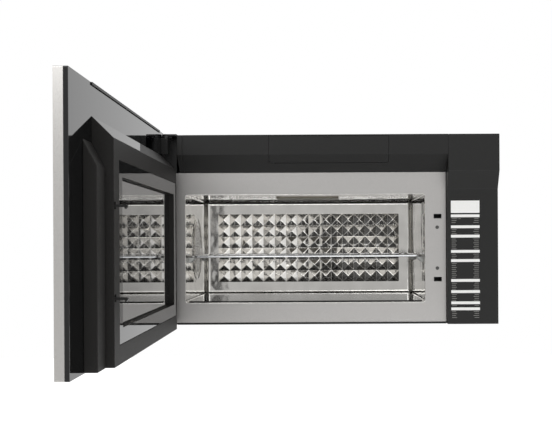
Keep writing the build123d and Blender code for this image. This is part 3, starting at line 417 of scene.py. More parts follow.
# %% Helpers for pieces
def show(name, mesh, slot, body, *stands_for):
    """Puts a finished mesh in the scene, with its finish, on a body, in place of the solids it stands for."""
    piece = bpy.data.objects.new(name, mesh)
    scene.collection.objects.link(piece)
    finish = next((material for material in mesh.materials if material), finishes[slot])
    mesh.materials.clear()  # joined meshes can bring an empty slot with them, which would render plain grey
    mesh.materials.append(finish)
    mesh.polygons.foreach_set("material_index", [0] * len(mesh.polygons))
    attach(piece, body)
    if stands_for:
        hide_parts(*stands_for)
    return piece


def settle(holder):
    """The plain mesh that an object's modifiers make. The object itself is removed."""
    graph = bpy.context.evaluated_depsgraph_get()
    mesh = bpy.data.meshes.new_from_object(holder.evaluated_get(graph))
    bpy.data.objects.remove(holder)
    return mesh


def hold(name, mesh):
    """An object that carries a mesh while modifiers work on it."""
    holder = bpy.data.objects.new(name, mesh)
    scene.collection.objects.link(holder)
    return holder


def as_mesh(name, shape, outward=False):
    """The plain mesh of a shape that was built point by point, with its faces turned outward first where that is
    asked.
    """
    if outward:
        bmesh.ops.recalc_face_normals(shape, faces=shape.faces)
    mesh = bpy.data.meshes.new(name)
    shape.to_mesh(mesh)
    shape.free()
    return mesh


def skin(shape, rings, closed=False):
    """Lays four-sided faces from each ring of points to the next, and from the last to the first if closed."""
    following_rings = rings[1:] + (rings[:1] if closed else [])
    for one, other in zip(rings, following_rings):
        for at in range(len(one)):
            following = (at + 1) % len(one)
            shape.faces.new((one[at], one[following], other[following], other[at]))


WELD = 0.02 * MM
FLAT_ANGLE, CREASE_ANGLE = math.radians(1), math.radians(28)
EDGE_STEPS = 3


def rounded(node, name, radius):
    """A copy of a solid with its edges rounded, which stands for that solid."""
    solid = solids[node]
    shape = bmesh.new()
    shape.from_mesh(solid.data)
    for layer in list(shape.loops.layers.uv):
        shape.loops.layers.uv.remove(layer)
    bmesh.ops.remove_doubles(shape, verts=shape.verts, dist=WELD)
    bmesh.ops.dissolve_limit(shape, angle_limit=FLAT_ANGLE, verts=shape.verts, edges=shape.edges)
    for face in shape.faces:
        face.smooth = True
    mesh = as_mesh(name, shape)
    mesh.materials.append(solid.data.materials[0])
    holder = hold(name, mesh)
    bevel = holder.modifiers.new("edges", "BEVEL")
    bevel.width = radius
    bevel.segments = EDGE_STEPS
    bevel.limit_method = "ANGLE"
    bevel.angle_limit = CREASE_ANGLE
    bevel.face_strength_mode = "FSTR_ALL"
    shading = holder.modifiers.new("shading", "WEIGHTED_NORMAL")
    shading.use_face_influence = True
    shading.weight = 100
    return show(name, settle(holder), slots[node], solid["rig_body"], node)


print("piece helpers ready")

# %% Round the mouldings and the folded sheets
EDGES = {  # solid: (its new name, edge radius in mm)
    "top_vent_band": ("vent_band", 0.9),
    "left_end_cap": ("band_end_cap", 0.9),
    "filter_flap": ("charcoal_filter_door", 0.5),
    "right_column": ("guide_column", 1.0),
    "front_lip": ("bottom_trim", 0.5),
    "hinge_cap": ("hinge_cover", 0.9),
    "door_skin": ("door_wrap", 0.35),
    "door_liner": ("door_inner_panel", 0.8),
    "choke_frame": ("choke_ring", 1.4),
    "control_housing": ("control_cover", 1.4),
    "door_top_strip": ("door_vent_strip", 0.4),
    "latch_bar": ("latch_hooks", 0.5),
    "hinge_blocks": ("hinge_bosses", 0.5),
    "interlock_bracket": ("latch_board", 0.4),
    "rack_supports": ("rack_rests", 0.8),
    "exhaust_frame": ("exhaust_collar", 0.5),
}
for node, (name, radius) in EDGES.items():
    piece = rounded(node, name, radius * MM)
    print(name, len(piece.data.polygons), "faces")

# %% [markdown]
# ## Growing pieces with Geometry Nodes
# Anything that repeats is grown by a node tree: one small shape, a rule for where it goes, and a modifier whose
# named inputs carry the sizes. The result is turned into a plain mesh, so that nothing depends on the tree later.


# %% Geometry Nodes helpers
def new_rule(name, **inputs):
    """A geometry tree whose inputs have these names and socket kinds. Returns the tree and its input node."""
    tree = bpy.data.node_groups.new(name, "GeometryNodeTree")
    tree.interface.new_socket("Geometry", in_out="INPUT", socket_type="NodeSocketGeometry")
    for label, kind in inputs.items():
        tree.interface.new_socket(label, in_out="INPUT", socket_type=f"NodeSocket{kind}")
    tree.interface.new_socket("Geometry", in_out="OUTPUT", socket_type="NodeSocketGeometry")
    return tree, add(tree, "NodeGroupInput").outputs


def end_rule(tree, geometry, material):
    """Closes a tree: real geometry instead of instances, with its material."""
    real = add(tree, "GeometryNodeRealizeInstances", {"Geometry": geometry})
    clad = add(tree, "GeometryNodeSetMaterial", {"Geometry": real.outputs[0], "Material": material})
    add(tree, "NodeGroupOutput", {"Geometry": clad.outputs[0]})


def grow(name, tree, seed_mesh, **values):
    """The plain mesh that a tree makes from a seed mesh, with these values in its inputs."""
    holder = hold(name, seed_mesh)
    modifier = holder.modifiers.new(name, "NODES")
    modifier.node_group = tree
    for item in tree.interface.items_tree:
        if item.in_out == "INPUT" and item.name in values:
            modifier[item.identifier] = values[item.name]
    return settle(holder)


def merged(name, *meshes, smooth=None):
    """One mesh from several. With an angle in degrees, faces that meet flatter than that shade as one."""
    shape = bmesh.new()
    for mesh in meshes:
        shape.from_mesh(mesh)
    if smooth is not None:
        for face in shape.faces:
            face.smooth = True
        for edge in shape.edges:
            edge.smooth = edge.is_manifold and edge.calc_face_angle(0) < math.radians(smooth)
    whole = as_mesh(name, shape)
    for material in meshes[0].materials:
        whole.materials.append(material)
    return whole


print("geometry helpers ready")

# %% [markdown]
# ## The stamped back wall
# The back of the oven is pressed into rows of low square pyramids. They stiffen the thin sheet and, to the eye,
# break the lining's mirror into bright and dark triangles. A press rounds every ridge, so one pyramid is made
# with bevelled ridges, and a rule lays it out on a grid. The sheet round it curves forward into the walls.

# %% One pressed pyramid
PITCH = 29.8 * MM
COLUMNS, ROWS = 16, 6
STAMP_HEIGHT = 7.0 * MM
RIDGE = 0.9 * MM

wall_low, wall_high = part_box("diamond_back_wall")
wall_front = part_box("cavity_wrapper")[1].y
half = PITCH / 2
shape = bmesh.new()
base = [shape.verts.new((x * half, 0, z * half)) for x, z in ((-1, -1), (1, -1), (1, 1), (-1, 1))]
tip = shape.verts.new((0, -STAMP_HEIGHT, 0))
for at in range(4):
    shape.faces.new((base[at], base[(at + 1) % 4], tip))
shape.faces.new(base[::-1])
ridges = [edge for edge in shape.edges if tip in edge.verts]
bmesh.ops.bevel(shape, geom=ridges, offset=RIDGE, segments=3, profile=0.5, affect="EDGES")
stamp = as_mesh("stamp", shape)
print("one pyramid has", len(stamp.polygons), "faces; the wall's front is at y", round(wall_front, 4))

# %% Lay the pyramids out on a grid
tree, size = new_rule("stamped_grid", Columns="Int", Rows="Int", Pitch="Float", Centre="Vector")
span_x = add(tree, "ShaderNodeMath", {0: size["Columns"], 1: 1.0}, operation="SUBTRACT").outputs[0]
span_z = add(tree, "ShaderNodeMath", {0: size["Rows"], 1: 1.0}, operation="SUBTRACT").outputs[0]
wide = add(tree, "ShaderNodeMath", {0: span_x, 1: size["Pitch"]}, operation="MULTIPLY").outputs[0]
tall = add(tree, "ShaderNodeMath", {0: span_z, 1: size["Pitch"]}, operation="MULTIPLY").outputs[0]
spots = add(tree, "GeometryNodeMeshGrid", {
    "Size X": wide, "Size Y": tall, "Vertices X": size["Columns"], "Vertices Y": size["Rows"],
})
upright = add(tree, "GeometryNodeTransform", {
    "Geometry": spots.outputs["Mesh"], "Translation": size["Centre"], "Rotation": (math.radians(90), 0, 0),
})
copies = add(tree, "GeometryNodeInstanceOnPoints", {"Points": upright.outputs[0], "Instance": size["Geometry"]})
end_rule(tree, copies.outputs[0], finishes["cavity_steel"])

FIELD_Z = 170.0 * MM
wall_x = (wall_low.x + wall_high.x) / 2
pyramids = grow("pyramids", tree, stamp, Columns=COLUMNS, Rows=ROWS, Pitch=PITCH,
                Centre=(wall_x, wall_front, FIELD_Z))
print("pyramids:", len(pyramids.polygons), "faces")

# %% The sheet that carries them, with a cove round its rim
LINING = 1.0 * MM
COVE = 11.0 * MM
COVE_STEPS = 6
SHEET = 0.8 * MM

mouth_low = Vector((wall_low.x + LINING, 0, wall_low.z + LINING))
mouth_high = Vector((wall_high.x - LINING, 0, wall_high.z - LINING))


def frame_points(inset, y):
    """Four corners of the lining's section, this far in from its walls, at depth y."""
    low, high = mouth_low, mouth_high
    return [(low.x + inset, y, low.z + inset), (high.x - inset, y, low.z + inset),
            (high.x - inset, y, high.z - inset), (low.x + inset, y, high.z - inset)]


shape = bmesh.new()
loops = []
for step in range(COVE_STEPS + 1):
    turn = math.radians(90) * step / COVE_STEPS
    inset = COVE * (1 - math.cos(turn))
    loops.append([shape.verts.new(p) for p in frame_points(inset, wall_front - COVE * (1 - math.sin(turn)))])
skin(shape, loops)
shape.faces.new(loops[-1])
bmesh.ops.recalc_face_normals(shape, faces=shape.faces)
rim = [edge for edge in shape.edges if edge.is_boundary]
closing = bmesh.ops.extrude_edge_only(shape, edges=rim)["geom"]
for vert in (item for item in closing if isinstance(item, bmesh.types.BMVert)):
    vert.co.y = wall_front + SHEET
bmesh.ops.holes_fill(shape, edges=[edge for edge in shape.edges if edge.is_boundary])
sheet = as_mesh("sheet", shape, outward=True)
back_wall = merged("stamped_back_wall", pyramids, sheet, smooth=30)
show("stamped_back_wall", back_wall, "cavity_steel", "cabinet", "diamond_back_wall")
print("back wall:", len(back_wall.polygons), "faces, cove radius", COVE)

# %% [markdown]
# ## The rack
# A wire rack is welded from drawn wire: a thick one bent into a frame, thin ones laid side by side across it. In
# Geometry Nodes a wire is a curve with a round profile, and the rule repeats one thin wire along the frame.

# %% Rack sizes, read from its solid
rack_low, rack_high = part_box("wire_rack")
RACK_WIRES = 19
FRAME_WIRE = 2.5 * MM
CROSS_WIRE = 1.6 * MM
THICK_SIDES, THIN_SIDES = 12, 8  # of the wires' round sections
BEND = 20.0 * MM
rack_z = rack_high.z - FRAME_WIRE
left, right = rack_low.x + FRAME_WIRE, rack_high.x - FRAME_WIRE
near, far = rack_low.y + FRAME_WIRE, rack_high.y - FRAME_WIRE
print("rack frame", round(right - left, 4), "by", round(far - near, 4), "m")

# %% Rack rule
tree, size = new_rule(
    "rack_rule", Wires="Int", Thick="Float", Thin="Float", First="Vector", Reach="Vector", Step="Vector",
    Bar_Start="Vector", Bar_End="Vector",
)
frame_curve = add(tree, "GeometryNodeMeshToCurve", {"Mesh": size["Geometry"]})
thick_ring = add(tree, "GeometryNodeCurvePrimitiveCircle", {"Resolution": THICK_SIDES, "Radius": size["Thick"]})
thin_ring = add(tree, "GeometryNodeCurvePrimitiveCircle", {"Resolution": THIN_SIDES, "Radius": size["Thin"]})
loop = add(tree, "GeometryNodeCurveToMesh", {"Curve": frame_curve.outputs[0], "Profile Curve": thick_ring.outputs[0]})
one_wire = add(tree, "GeometryNodeCurvePrimitiveLine", {"End": size["Reach"]})
row = add(tree, "GeometryNodeMeshLine", {
    "Count": size["Wires"], "Start Location": size["First"], "Offset": size["Step"],
}, mode="OFFSET")
wires = add(tree, "GeometryNodeInstanceOnPoints", {"Points": row.outputs[0], "Instance": one_wire.outputs[0]})
wires = add(tree, "GeometryNodeRealizeInstances", {"Geometry": wires.outputs[0]})
bar = add(tree, "GeometryNodeCurvePrimitiveLine", {"Start": size["Bar_Start"], "End": size["Bar_End"]})
thin = add(tree, "GeometryNodeJoinGeometry")
tree.links.new(wires.outputs[0], thin.inputs[0])
tree.links.new(bar.outputs[0], thin.inputs[0])
thin = add(tree, "GeometryNodeCurveToMesh", {
    "Curve": thin.outputs[0], "Profile Curve": thin_ring.outputs[0], "Fill Caps": True,
})
both = add(tree, "GeometryNodeJoinGeometry")
tree.links.new(loop.outputs[0], both.inputs[0])
tree.links.new(thin.outputs[0], both.inputs[0])
end_rule(tree, both.outputs[0], finishes["rack_chrome"])


# %% Bent wire, and the rack
def bent_corners(low, high, bend, steps):
    """Points of a closed path along a rectangle, given by two corners in its plane, with its corners bent round."""
    points = []
    for x, y, turn in ((high[0], low[1], -90), (high[0], high[1], 0), (low[0], high[1], 90), (low[0], low[1], 180)):
        middle_x = x - math.copysign(bend, x - (low[0] + high[0]) / 2)
        middle_y = y - math.copysign(bend, y - (low[1] + high[1]) / 2)
        for step in range(steps + 1):
            angle = math.radians(turn + 90 * step / steps)
            points.append((middle_x + bend * math.cos(angle), middle_y + bend * math.sin(angle)))
    return points


def closed_wire(name, points):
    """A ring of edges through these points, which a tree can turn into wire."""
    wire = bpy.data.meshes.new(name)
    wire.from_pydata(points, [(at, (at + 1) % len(points)) for at in range(len(points))], [])
    return wire


BEND_STEPS = 8
outline = closed_wire("rack_outline", [(x, y, rack_z) for x, y in bent_corners(
    (left, near), (right, far), BEND, BEND_STEPS)])
spacing = (right - left) / (RACK_WIRES + 1)
bar_y, bar_z = (near + far) / 2, rack_low.z + CROSS_WIRE
rack = grow(
    "oven_rack", tree, outline, Wires=RACK_WIRES, Thick=FRAME_WIRE, Thin=CROSS_WIRE,
    First=(left + spacing, near, rack_z), Reach=(0.0, far - near, 0.0), Step=(spacing, 0.0, 0.0),
    Bar_Start=(left, bar_y, bar_z), Bar_End=(right, bar_y, bar_z),
)
rack = merged("oven_rack", rack, smooth=60)
show("oven_rack", rack, "rack_chrome", "rack", "wire_rack")
print("rack:", len(rack.polygons), "faces")

# %% [markdown]
# ## The bead round the mouth
# Where the lining meets the face plate its edge is rolled over, so that no raw edge is left to cut a hand. The
# roll catches the light as a hairline. It is a wire along the mouth's outline, made like the rack's frame.

# %% Bead rule and path
BEAD = 0.9 * MM
BEAD_CORNER = 5.0 * MM
BEAD_STEPS = 4
bead_tree, size = new_rule("rolled_bead", Radius="Float")
bead_path = add(bead_tree, "GeometryNodeMeshToCurve", {"Mesh": size["Geometry"]})
bead_ring = add(bead_tree, "GeometryNodeCurvePrimitiveCircle", {
    "Resolution": THIN_SIDES, "Radius": size["Radius"],
})
bead_wire = add(bead_tree, "GeometryNodeCurveToMesh", {
    "Curve": bead_path.outputs[0], "Profile Curve": bead_ring.outputs[0],
})
end_rule(bead_tree, bead_wire.outputs[0], finishes["cavity_steel"])

plate_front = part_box("face_plate")[0].y
outline = closed_wire("mouth_outline", [(x, plate_front, z) for x, z in bent_corners(
    (mouth_low.x, mouth_low.z), (mouth_high.x, mouth_high.z), BEAD_CORNER, BEAD_STEPS)])
bead = merged("mouth_bead", grow("mouth_bead", bead_tree, outline, Radius=BEAD), smooth=60)
show("mouth_bead", bead, "cavity_steel", "cabinet")
print("bead:", len(bead.polygons), "faces")

# %% [markdown]
# ## Perforated sheet
# The round cover in the left wall hides the convection fan. Its holes are punched on a honeycomb grid. One
# honeycomb cell with a hole is enough: the rule keeps the grid points that lie inside a circle and puts a cell on
# each, and a plain ring hides the ragged rim.

# %% One punched cell
CELL = 7.5 * MM
HOLE = 2.6 * MM
PUNCHED = 1.0 * MM
SIDES = 12

shape = bmesh.new()
rings = []
for reach, depth in ((None, 0), (HOLE, 0), (HOLE, PUNCHED), (None, PUNCHED)):
    ring = []
    for at in range(SIDES):
        angle = 2 * math.pi * at / SIDES
        wedge = (angle + math.pi / 6) % (math.pi / 3) - math.pi / 6
        distance = reach or CELL / 2 / math.cos(wedge)
        ring.append(shape.verts.new((distance * math.cos(angle), distance * math.sin(angle), -depth)))
    rings.append(ring)
skin(shape, rings)
cell = as_mesh("punched_cell", shape)
print("cell:", len(cell.polygons), "faces")

# %% Perforation rule: cells on a honeycomb inside a circle
tree, size = new_rule("perforation", Columns="Int", Rows="Int", Cell="Float", Radius="Float", Centre="Vector")
pitch_y = add(tree, "ShaderNodeMath", {0: size["Cell"], 1: math.sqrt(3) / 2}, operation="MULTIPLY").outputs[0]
across = add(tree, "ShaderNodeMath", {0: size["Columns"], 1: size["Cell"]}, operation="MULTIPLY").outputs[0]
along = add(tree, "ShaderNodeMath", {0: size["Rows"], 1: pitch_y}, operation="MULTIPLY").outputs[0]
more_x = add(tree, "ShaderNodeMath", {0: size["Columns"], 1: 1.0}, operation="ADD").outputs[0]
more_y = add(tree, "ShaderNodeMath", {0: size["Rows"], 1: 1.0}, operation="ADD").outputs[0]
grid = add(tree, "GeometryNodeMeshGrid", {
    "Size X": across, "Size Y": along, "Vertices X": more_x, "Vertices Y": more_y,
}).outputs["Mesh"]
number = add(tree, "GeometryNodeInputIndex").outputs[0]
rank = add(tree, "ShaderNodeMath", {0: number, 1: more_y}, operation="MODULO")
rank = add(tree, "ShaderNodeMath", {0: rank.outputs[0], 1: 2.0}, operation="MODULO").outputs[0]
half_cell = add(tree, "ShaderNodeMath", {0: size["Cell"], 1: 0.5}, operation="MULTIPLY").outputs[0]
shift = add(tree, "ShaderNodeMath", {0: rank, 1: half_cell}, operation="MULTIPLY").outputs[0]
shift = add(tree, "ShaderNodeCombineXYZ", {"X": shift}).outputs[0]
grid = add(tree, "GeometryNodeSetPosition", {"Geometry": grid, "Offset": shift}).outputs[0]
place = add(tree, "GeometryNodeInputPosition").outputs[0]
away = add(tree, "ShaderNodeVectorMath", {0: place}, operation="LENGTH").outputs["Value"]
outside = add(tree, "ShaderNodeMath", {0: away, 1: size["Radius"]}, operation="GREATER_THAN").outputs[0]
kept = add(tree, "GeometryNodeDeleteGeometry", {"Geometry": grid, "Selection": outside}, domain="POINT")
cells = add(tree, "GeometryNodeInstanceOnPoints", {"Points": kept.outputs[0], "Instance": size["Geometry"]})
real = add(tree, "GeometryNodeRealizeInstances", {"Geometry": cells.outputs[0]})
facing = add(tree, "GeometryNodeTransform", {
    "Geometry": real.outputs[0], "Translation": size["Centre"], "Rotation": (0, math.radians(90), 0),
})
end_rule(tree, facing.outputs[0], finishes["cavity_steel"])

# %% Grow the fan's cover and turn its rim
cover_low, cover_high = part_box("convection_cover")
cover_radius = (cover_high.y - cover_low.y) / 2
cover_middle = (cover_low + cover_high) / 2
PUNCHED_RADIUS = 55.0 * MM
PUNCHED_COLUMNS, PUNCHED_ROWS = 17, 19  # enough to fill the circle
punched = grow("punched", tree, cell, Columns=PUNCHED_COLUMNS, Rows=PUNCHED_ROWS, Cell=CELL, Radius=PUNCHED_RADIUS,
               Centre=(cover_high.x, cover_middle.y, cover_middle.z))

RIM_STEPS = 48
RIM_LIFT = 0.2
rim_section = [  # distance from the centre and height over the wall, in mm
    (57.0, 0.2), (58.0, 1.6), (61.0, 2.2), (64.0, 1.6), (65.0, 1.0), (cover_radius / MM - 1.2, 1.0),
    (cover_radius / MM, 0.2), (cover_radius / MM, 0.0), (57.0, 0.0),
]
shape = bmesh.new()
turns = []
for at in range(RIM_STEPS):
    angle = 2 * math.pi * at / RIM_STEPS
    turns.append([
        shape.verts.new((cover_low.x + (rise + RIM_LIFT) * MM, cover_middle.y + out * MM * math.cos(angle),
                         cover_middle.z + out * MM * math.sin(angle)))
        for out, rise in rim_section
    ])
skin(shape, turns, closed=True)
rim = as_mesh("rim", shape, outward=True)
cover = merged("fan_cover", punched, rim, smooth=35)
show("fan_cover", cover, "cavity_steel", "cabinet", "convection_cover")
print("fan cover:", len(cover.polygons), "faces")

# %% [markdown]
# ### Two dark screws
# The screws beside the oven's mouth hold the latch board. They are phosphated, which turns steel dull and dark, so
# they read as two small dark marks on the silver plate.

# %% Phosphated screws
phosphate, shader = new_finish("phosphated_steel", Metallic=1.0)
crystals = grain(phosphate.node_tree, shader, 0.0005, 0.00002, (0.45, 0.6))
tint(phosphate.node_tree, shader, crystals, "#4A4A49", "#626160")
solids["face_screws"].data.materials[0] = phosphate
print("screws beside the mouth:", phosphate.name)

# %% [markdown]
# ## The cooking guide
# The column at the right carries a printed guide: a white heading and white bars with fine grey lines between.
# Its words are left off here. The bars and the rows of dashes keep the same rhythm, so that the column still
# reads as printed at a glance. Print has almost no thickness: these plates are 0.15 mm.

# %% Flat printed plates
GUIDE_X = (274.0, 338.0)  # mm, left and right of the print
HEADER_Z = (248.5, 276.0)
BAR_HEIGHT = 6.2
BAR_Z = (242.0, 217.5, 196.5, 162.5, 142.0, 97.5, 72.5, 47.5, 34.0)
INK = 0.15 * MM
BODY_DEPTH, COLUMN_RECESS = 405.0, 22.0
column_front = -BODY_DEPTH * MM + COLUMN_RECESS * MM


def plates(name, rectangles, front, thickness=INK):
    """Thin plates that face -Y. Each rectangle is left, right, bottom, top, in mm."""
    shape = bmesh.new()
    for x0, x1, z0, z1 in rectangles:
        corners = bmesh.ops.create_cube(shape, size=1.0)["verts"]
        for vert in corners:
            vert.co = (
                (x0 if vert.co.x < 0 else x1) * MM,
                front - (thickness if vert.co.y < 0 else 0),
                (z0 if vert.co.z < 0 else z1) * MM,
            )
    return as_mesh(name, shape)


def screen_ink(name, dark, light):
    """Printed ink: matt, with the faint weave that the printing screen leaves."""
    ink, shader = new_finish(name)
    weave = grain(ink.node_tree, shader, 0.0009, 0.00001, (0.45, 0.6))
    tint(ink.node_tree, shader, weave, dark, light)
    return ink


white_ink = screen_ink("white_screen_ink", "#F2F2F0", "#FAFAF8")
grey_ink = screen_ink("grey_screen_ink", "#6F6E6C", "#83827F")
bars = [(*GUIDE_X, z - BAR_HEIGHT / 2, z + BAR_HEIGHT / 2) for z in BAR_Z]
guide = plates("guide_bars", [(*GUIDE_X, *HEADER_Z), *bars], column_front)
guide.materials.append(white_ink)
show("guide_bars", guide, "inner_plastic", "cabinet")
print("guide bars:", len(bars))

# %% Grey dashes between the bars
ROW_STEP = 4.4
DASH_HEIGHT = 1.3
DASHES = (  # left end and length of the dashes that take turns down the columns, in mm
    ((1.5, 13.0), (17.0, 5.0), (52.0, 10.0)),
    ((1.5, 9.0), (50.0, 12.0)),
    ((1.5, 16.0), (20.0, 8.0), (54.0, 8.0)),
    ((1.5, 11.0), (52.0, 10.0)),
)
BELOW_BAR, ABOVE_BAR = 3.2, 2.0  # clear space next to a bar, in mm
GUIDE_BOTTOM = 6.0
rows = []
edges_z = [*BAR_Z, GUIDE_BOTTOM]
for upper, lower in zip(edges_z, edges_z[1:]):
    height = upper - BAR_HEIGHT / 2 - BELOW_BAR
    while height > lower + BAR_HEIGHT / 2 + ABOVE_BAR:
        for start, length in DASHES[len(rows) % len(DASHES)]:
            rows.append((GUIDE_X[0] + start, GUIDE_X[0] + start + length, height - DASH_HEIGHT / 2,
                         height + DASH_HEIGHT / 2))
        height -= ROW_STEP
dashes = plates("guide_dashes", rows, column_front)
dashes.materials.append(grey_ink)
show("guide_dashes", dashes, "inner_plastic", "cabinet")
print("dashes:", len(rows))

# %% [markdown]
# ## Work on the open door
# The door is drawn shut, where its sizes are easy to read, and then turned about its hinge pin to the open place
# that it has in the picture. One matrix does that for every piece that is added to it.

# %% The door's turn
door_joint = next(joint for joint in frame["record"]["behaviour"]["joints"] if joint["name"] == "door_hinge")
door_range = door_joint["range_deg"]
HINGE = Vector((-360.0, -399.0, 0.0)) * MM
open_door = (
    Matrix.Translation(HINGE) @ Matrix.Rotation(math.radians(door_range[0]), 4, "Z") @ Matrix.Translation(-HINGE)
)
print("the door stands open by", -door_range[0], "degrees")

# %% [markdown]
# ### The glossy surround of the window
# A flat band of polished plastic lies round the window, in a shallow step of the deep frame. Its mirror shows the
# silver face plate. It is cut as one ring with a thin gap all round, which reads as a black line.

# %% Window surround
STEP_Y = -375.0  # where the shallow step lies on the shut door, in mm
BAND = 0.35
GAP = 1.0
outer = (-341.0 + GAP, 217.0 - GAP, 25.0 + GAP, 316.0 - GAP)  # the step's left, right, bottom and top, less the gap
inner = (-316.0, 192.0, 51.0, 290.0)  # the same of the window's opening


def ring_plate(name, outer, inner, back_y, front_y):
    """A flat closed ring between two upright rectangles (left, right, bottom, top), in mm."""
    shape = bmesh.new()
    rings = []
    for (x0, x1, z0, z1), y in ((outer, back_y), (outer, front_y), (inner, front_y), (inner, back_y)):
        rings.append([shape.verts.new((x * MM, y * MM, z * MM)) for x, z in ((x0, z0), (x1, z0), (x1, z1), (x0, z1))])
    skin(shape, rings, closed=True)
    return as_mesh(name, shape, outward=True)


surround = ring_plate("window_surround", outer, inner, STEP_Y, STEP_Y + BAND)
surround.transform(open_door)
show("window_surround", surround, "gloss_panel", "door")
print("surround:", len(surround.polygons), "faces")

# %% [markdown]
# ### The polished crest
# The deep frame slopes away at its top. From the front that slope is seen almost edge on, so a polished surface
# there mirrors the white room behind it as a pale strip, while the matt frame below stays dark. A thin strip of
# polished plastic is laid along the slope. It stops on a slant, short of the hinge.

# %% Crest strip
CREST = ((254.0, -123.0), -407.5, 378.3)  # the ends along x, then y and z of the slope's upper edge, in mm
BROW = ((254.0, 49.0), -374.0, 345.0)  # the same for its lower edge
INSET = 1.2
along_slope = Vector((0.0, BROW[1] - CREST[1], BROW[2] - CREST[2])).normalized()
off_slope = Vector((0.0, -along_slope.z, along_slope.y))
shape = bmesh.new()
layers = []
for lift in (0.0, BAND):
    layer = []
    for (near_x, far_x), y, z, step_in in ((*CREST, INSET), (*BROW, -INSET)):
        for x in (near_x - INSET, far_x):
            layer.append((Vector((x, y, z)) + along_slope * step_in + off_slope * lift) * MM)
    layers.append([shape.verts.new(layer[at]) for at in (0, 1, 3, 2)])
shape.faces.new(layers[0])
shape.faces.new(layers[1][::-1])
skin(shape, layers)
crest = as_mesh("crest_strip", shape, outward=True)
crest.transform(open_door)
show("crest_strip", crest, "gloss_panel", "door")
print("crest strip:", len(crest.polygons), "faces")

# %% [markdown]
# ### Touch keys on the glass
# The controls sit behind the outer glass, near the free edge: a dark display window and touch keys printed in pale
# ink. The keys here are plain digits. Each is a text turned into a mesh, as thin as print.

# %% Where the keys lie
KEYS = ("123", "456", "789", "0")
KEY_X = (266.0, 280.0, 294.0)
KEY_TOP = 150.0
KEY_STEP = 15.0
DIGIT = 8.5
PRINT = 0.1
glass_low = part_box("door_outer_glass")[0]
glass_edge = HINGE.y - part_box("door_outer_glass")[1].y
swing_angle = math.radians(-door_range[0])
glass_front = HINGE.y + (glass_low.x - HINGE.x - math.cos(swing_angle) * glass_edge) / math.sin(swing_angle)
print("the glass of the shut door lies at y", round(glass_front, 4))


# %% Keypad
def digit(text, x, z):
    """One printed digit that faces -Y, centred on a place of the shut door, in mm."""
    letters = bpy.data.curves.new("digit_" + text, "FONT")
    letters.body = text
    letters.size = DIGIT * MM
    letters.align_x, letters.align_y = "CENTER", "CENTER"
    letters.extrude = PRINT / 2 * MM
    mesh = settle(hold("digit_" + text, letters))
    mesh.materials.clear()
    place = Matrix.Translation((x * MM, glass_front - PRINT / 2 * MM, z * MM))
    mesh.transform(place @ Matrix.Rotation(math.pi / 2, 4, "X"))
    return mesh


digits = [
    digit(text, KEY_X[at] if len(row) == 3 else KEY_X[1], KEY_TOP - KEY_STEP * line)
    for line, row in enumerate(KEYS) for at, text in enumerate(row)
]
keypad = merged("keypad_digits", *digits)
keypad.materials.append(white_ink)
keypad.transform(open_door)
show("keypad_digits", keypad, "inner_plastic", "door")
DISPLAY = (258.0, 302.0, 174.0, 194.0)  # left, right, bottom, top, in mm
display = plates("display_window", [DISPLAY], glass_front, PRINT * MM)
display.transform(open_door)
show("display_window", display, "gloss_panel", "door")
print("keys:", len(digits))

# %% [markdown]
# ## Screws and ribs in rows
# The sheets are held by pan-head screws with a cross recess, and the lamps' lenses are ribbed to spread the light.
# Both are one small shape repeated along a line, so one rule serves them: a start, a step, a count and a turn.


# %% Row rule
def row_rule(name, finish):
    """A tree that repeats its seed along a line, turned to face a given way."""
    tree, size = new_rule(name, Count="Int", First="Vector", Step="Vector", Turn="Vector")
    line = add(tree, "GeometryNodeMeshLine", {
        "Count": size["Count"], "Start Location": size["First"], "Offset": size["Step"],
    }, mode="OFFSET")
    turn = add(tree, "FunctionNodeEulerToRotation", {"Euler": size["Turn"]})
    row = add(tree, "GeometryNodeInstanceOnPoints", {
        "Points": line.outputs[0], "Instance": size["Geometry"], "Rotation": turn.outputs[0],
    })
    end_rule(tree, row.outputs[0], finish)
    return tree


screw_row = row_rule("screw_row", finishes["zinc_steel"])
rib_row = row_rule("rib_row", finishes["lens_glass"])
print("row rules ready")

# %% One pan-head screw
HEAD = ((3.3, 0.0), (3.1, 0.6), (2.0, 1.05))  # radius and height of the head's rings, in mm
SLOT_HALF, SLOT_REACH, SLOT_DEPTH = 0.36, 1.45, 0.8
CORNERS = (-14, 14, 45, 76, 104, 135, 166, 194, 225, 256, 284, 315)
a, w = SLOT_REACH, SLOT_HALF
cross = ((a, -w), (a, w), (w, w), (w, a), (-w, a), (-w, w), (-a, w), (-a, -w), (-w, -w), (-w, -a), (w, -a), (w, -w))

shape = bmesh.new()
rings = [
    [
        shape.verts.new((radius * MM * math.cos(math.radians(corner)), radius * MM * math.sin(math.radians(corner)),
                         height * MM))
        for corner in CORNERS
    ]
    for radius, height in HEAD
]
for height in (HEAD[-1][1], HEAD[-1][1] - SLOT_DEPTH):
    rings.append([shape.verts.new((x * MM, y * MM, height * MM)) for x, y in cross])
skin(shape, rings)
shape.faces.new(rings[-1])
shape.faces.new(rings[0][::-1])
screw = as_mesh("screw", shape, outward=True)
print("one screw has", len(screw.polygons), "faces")

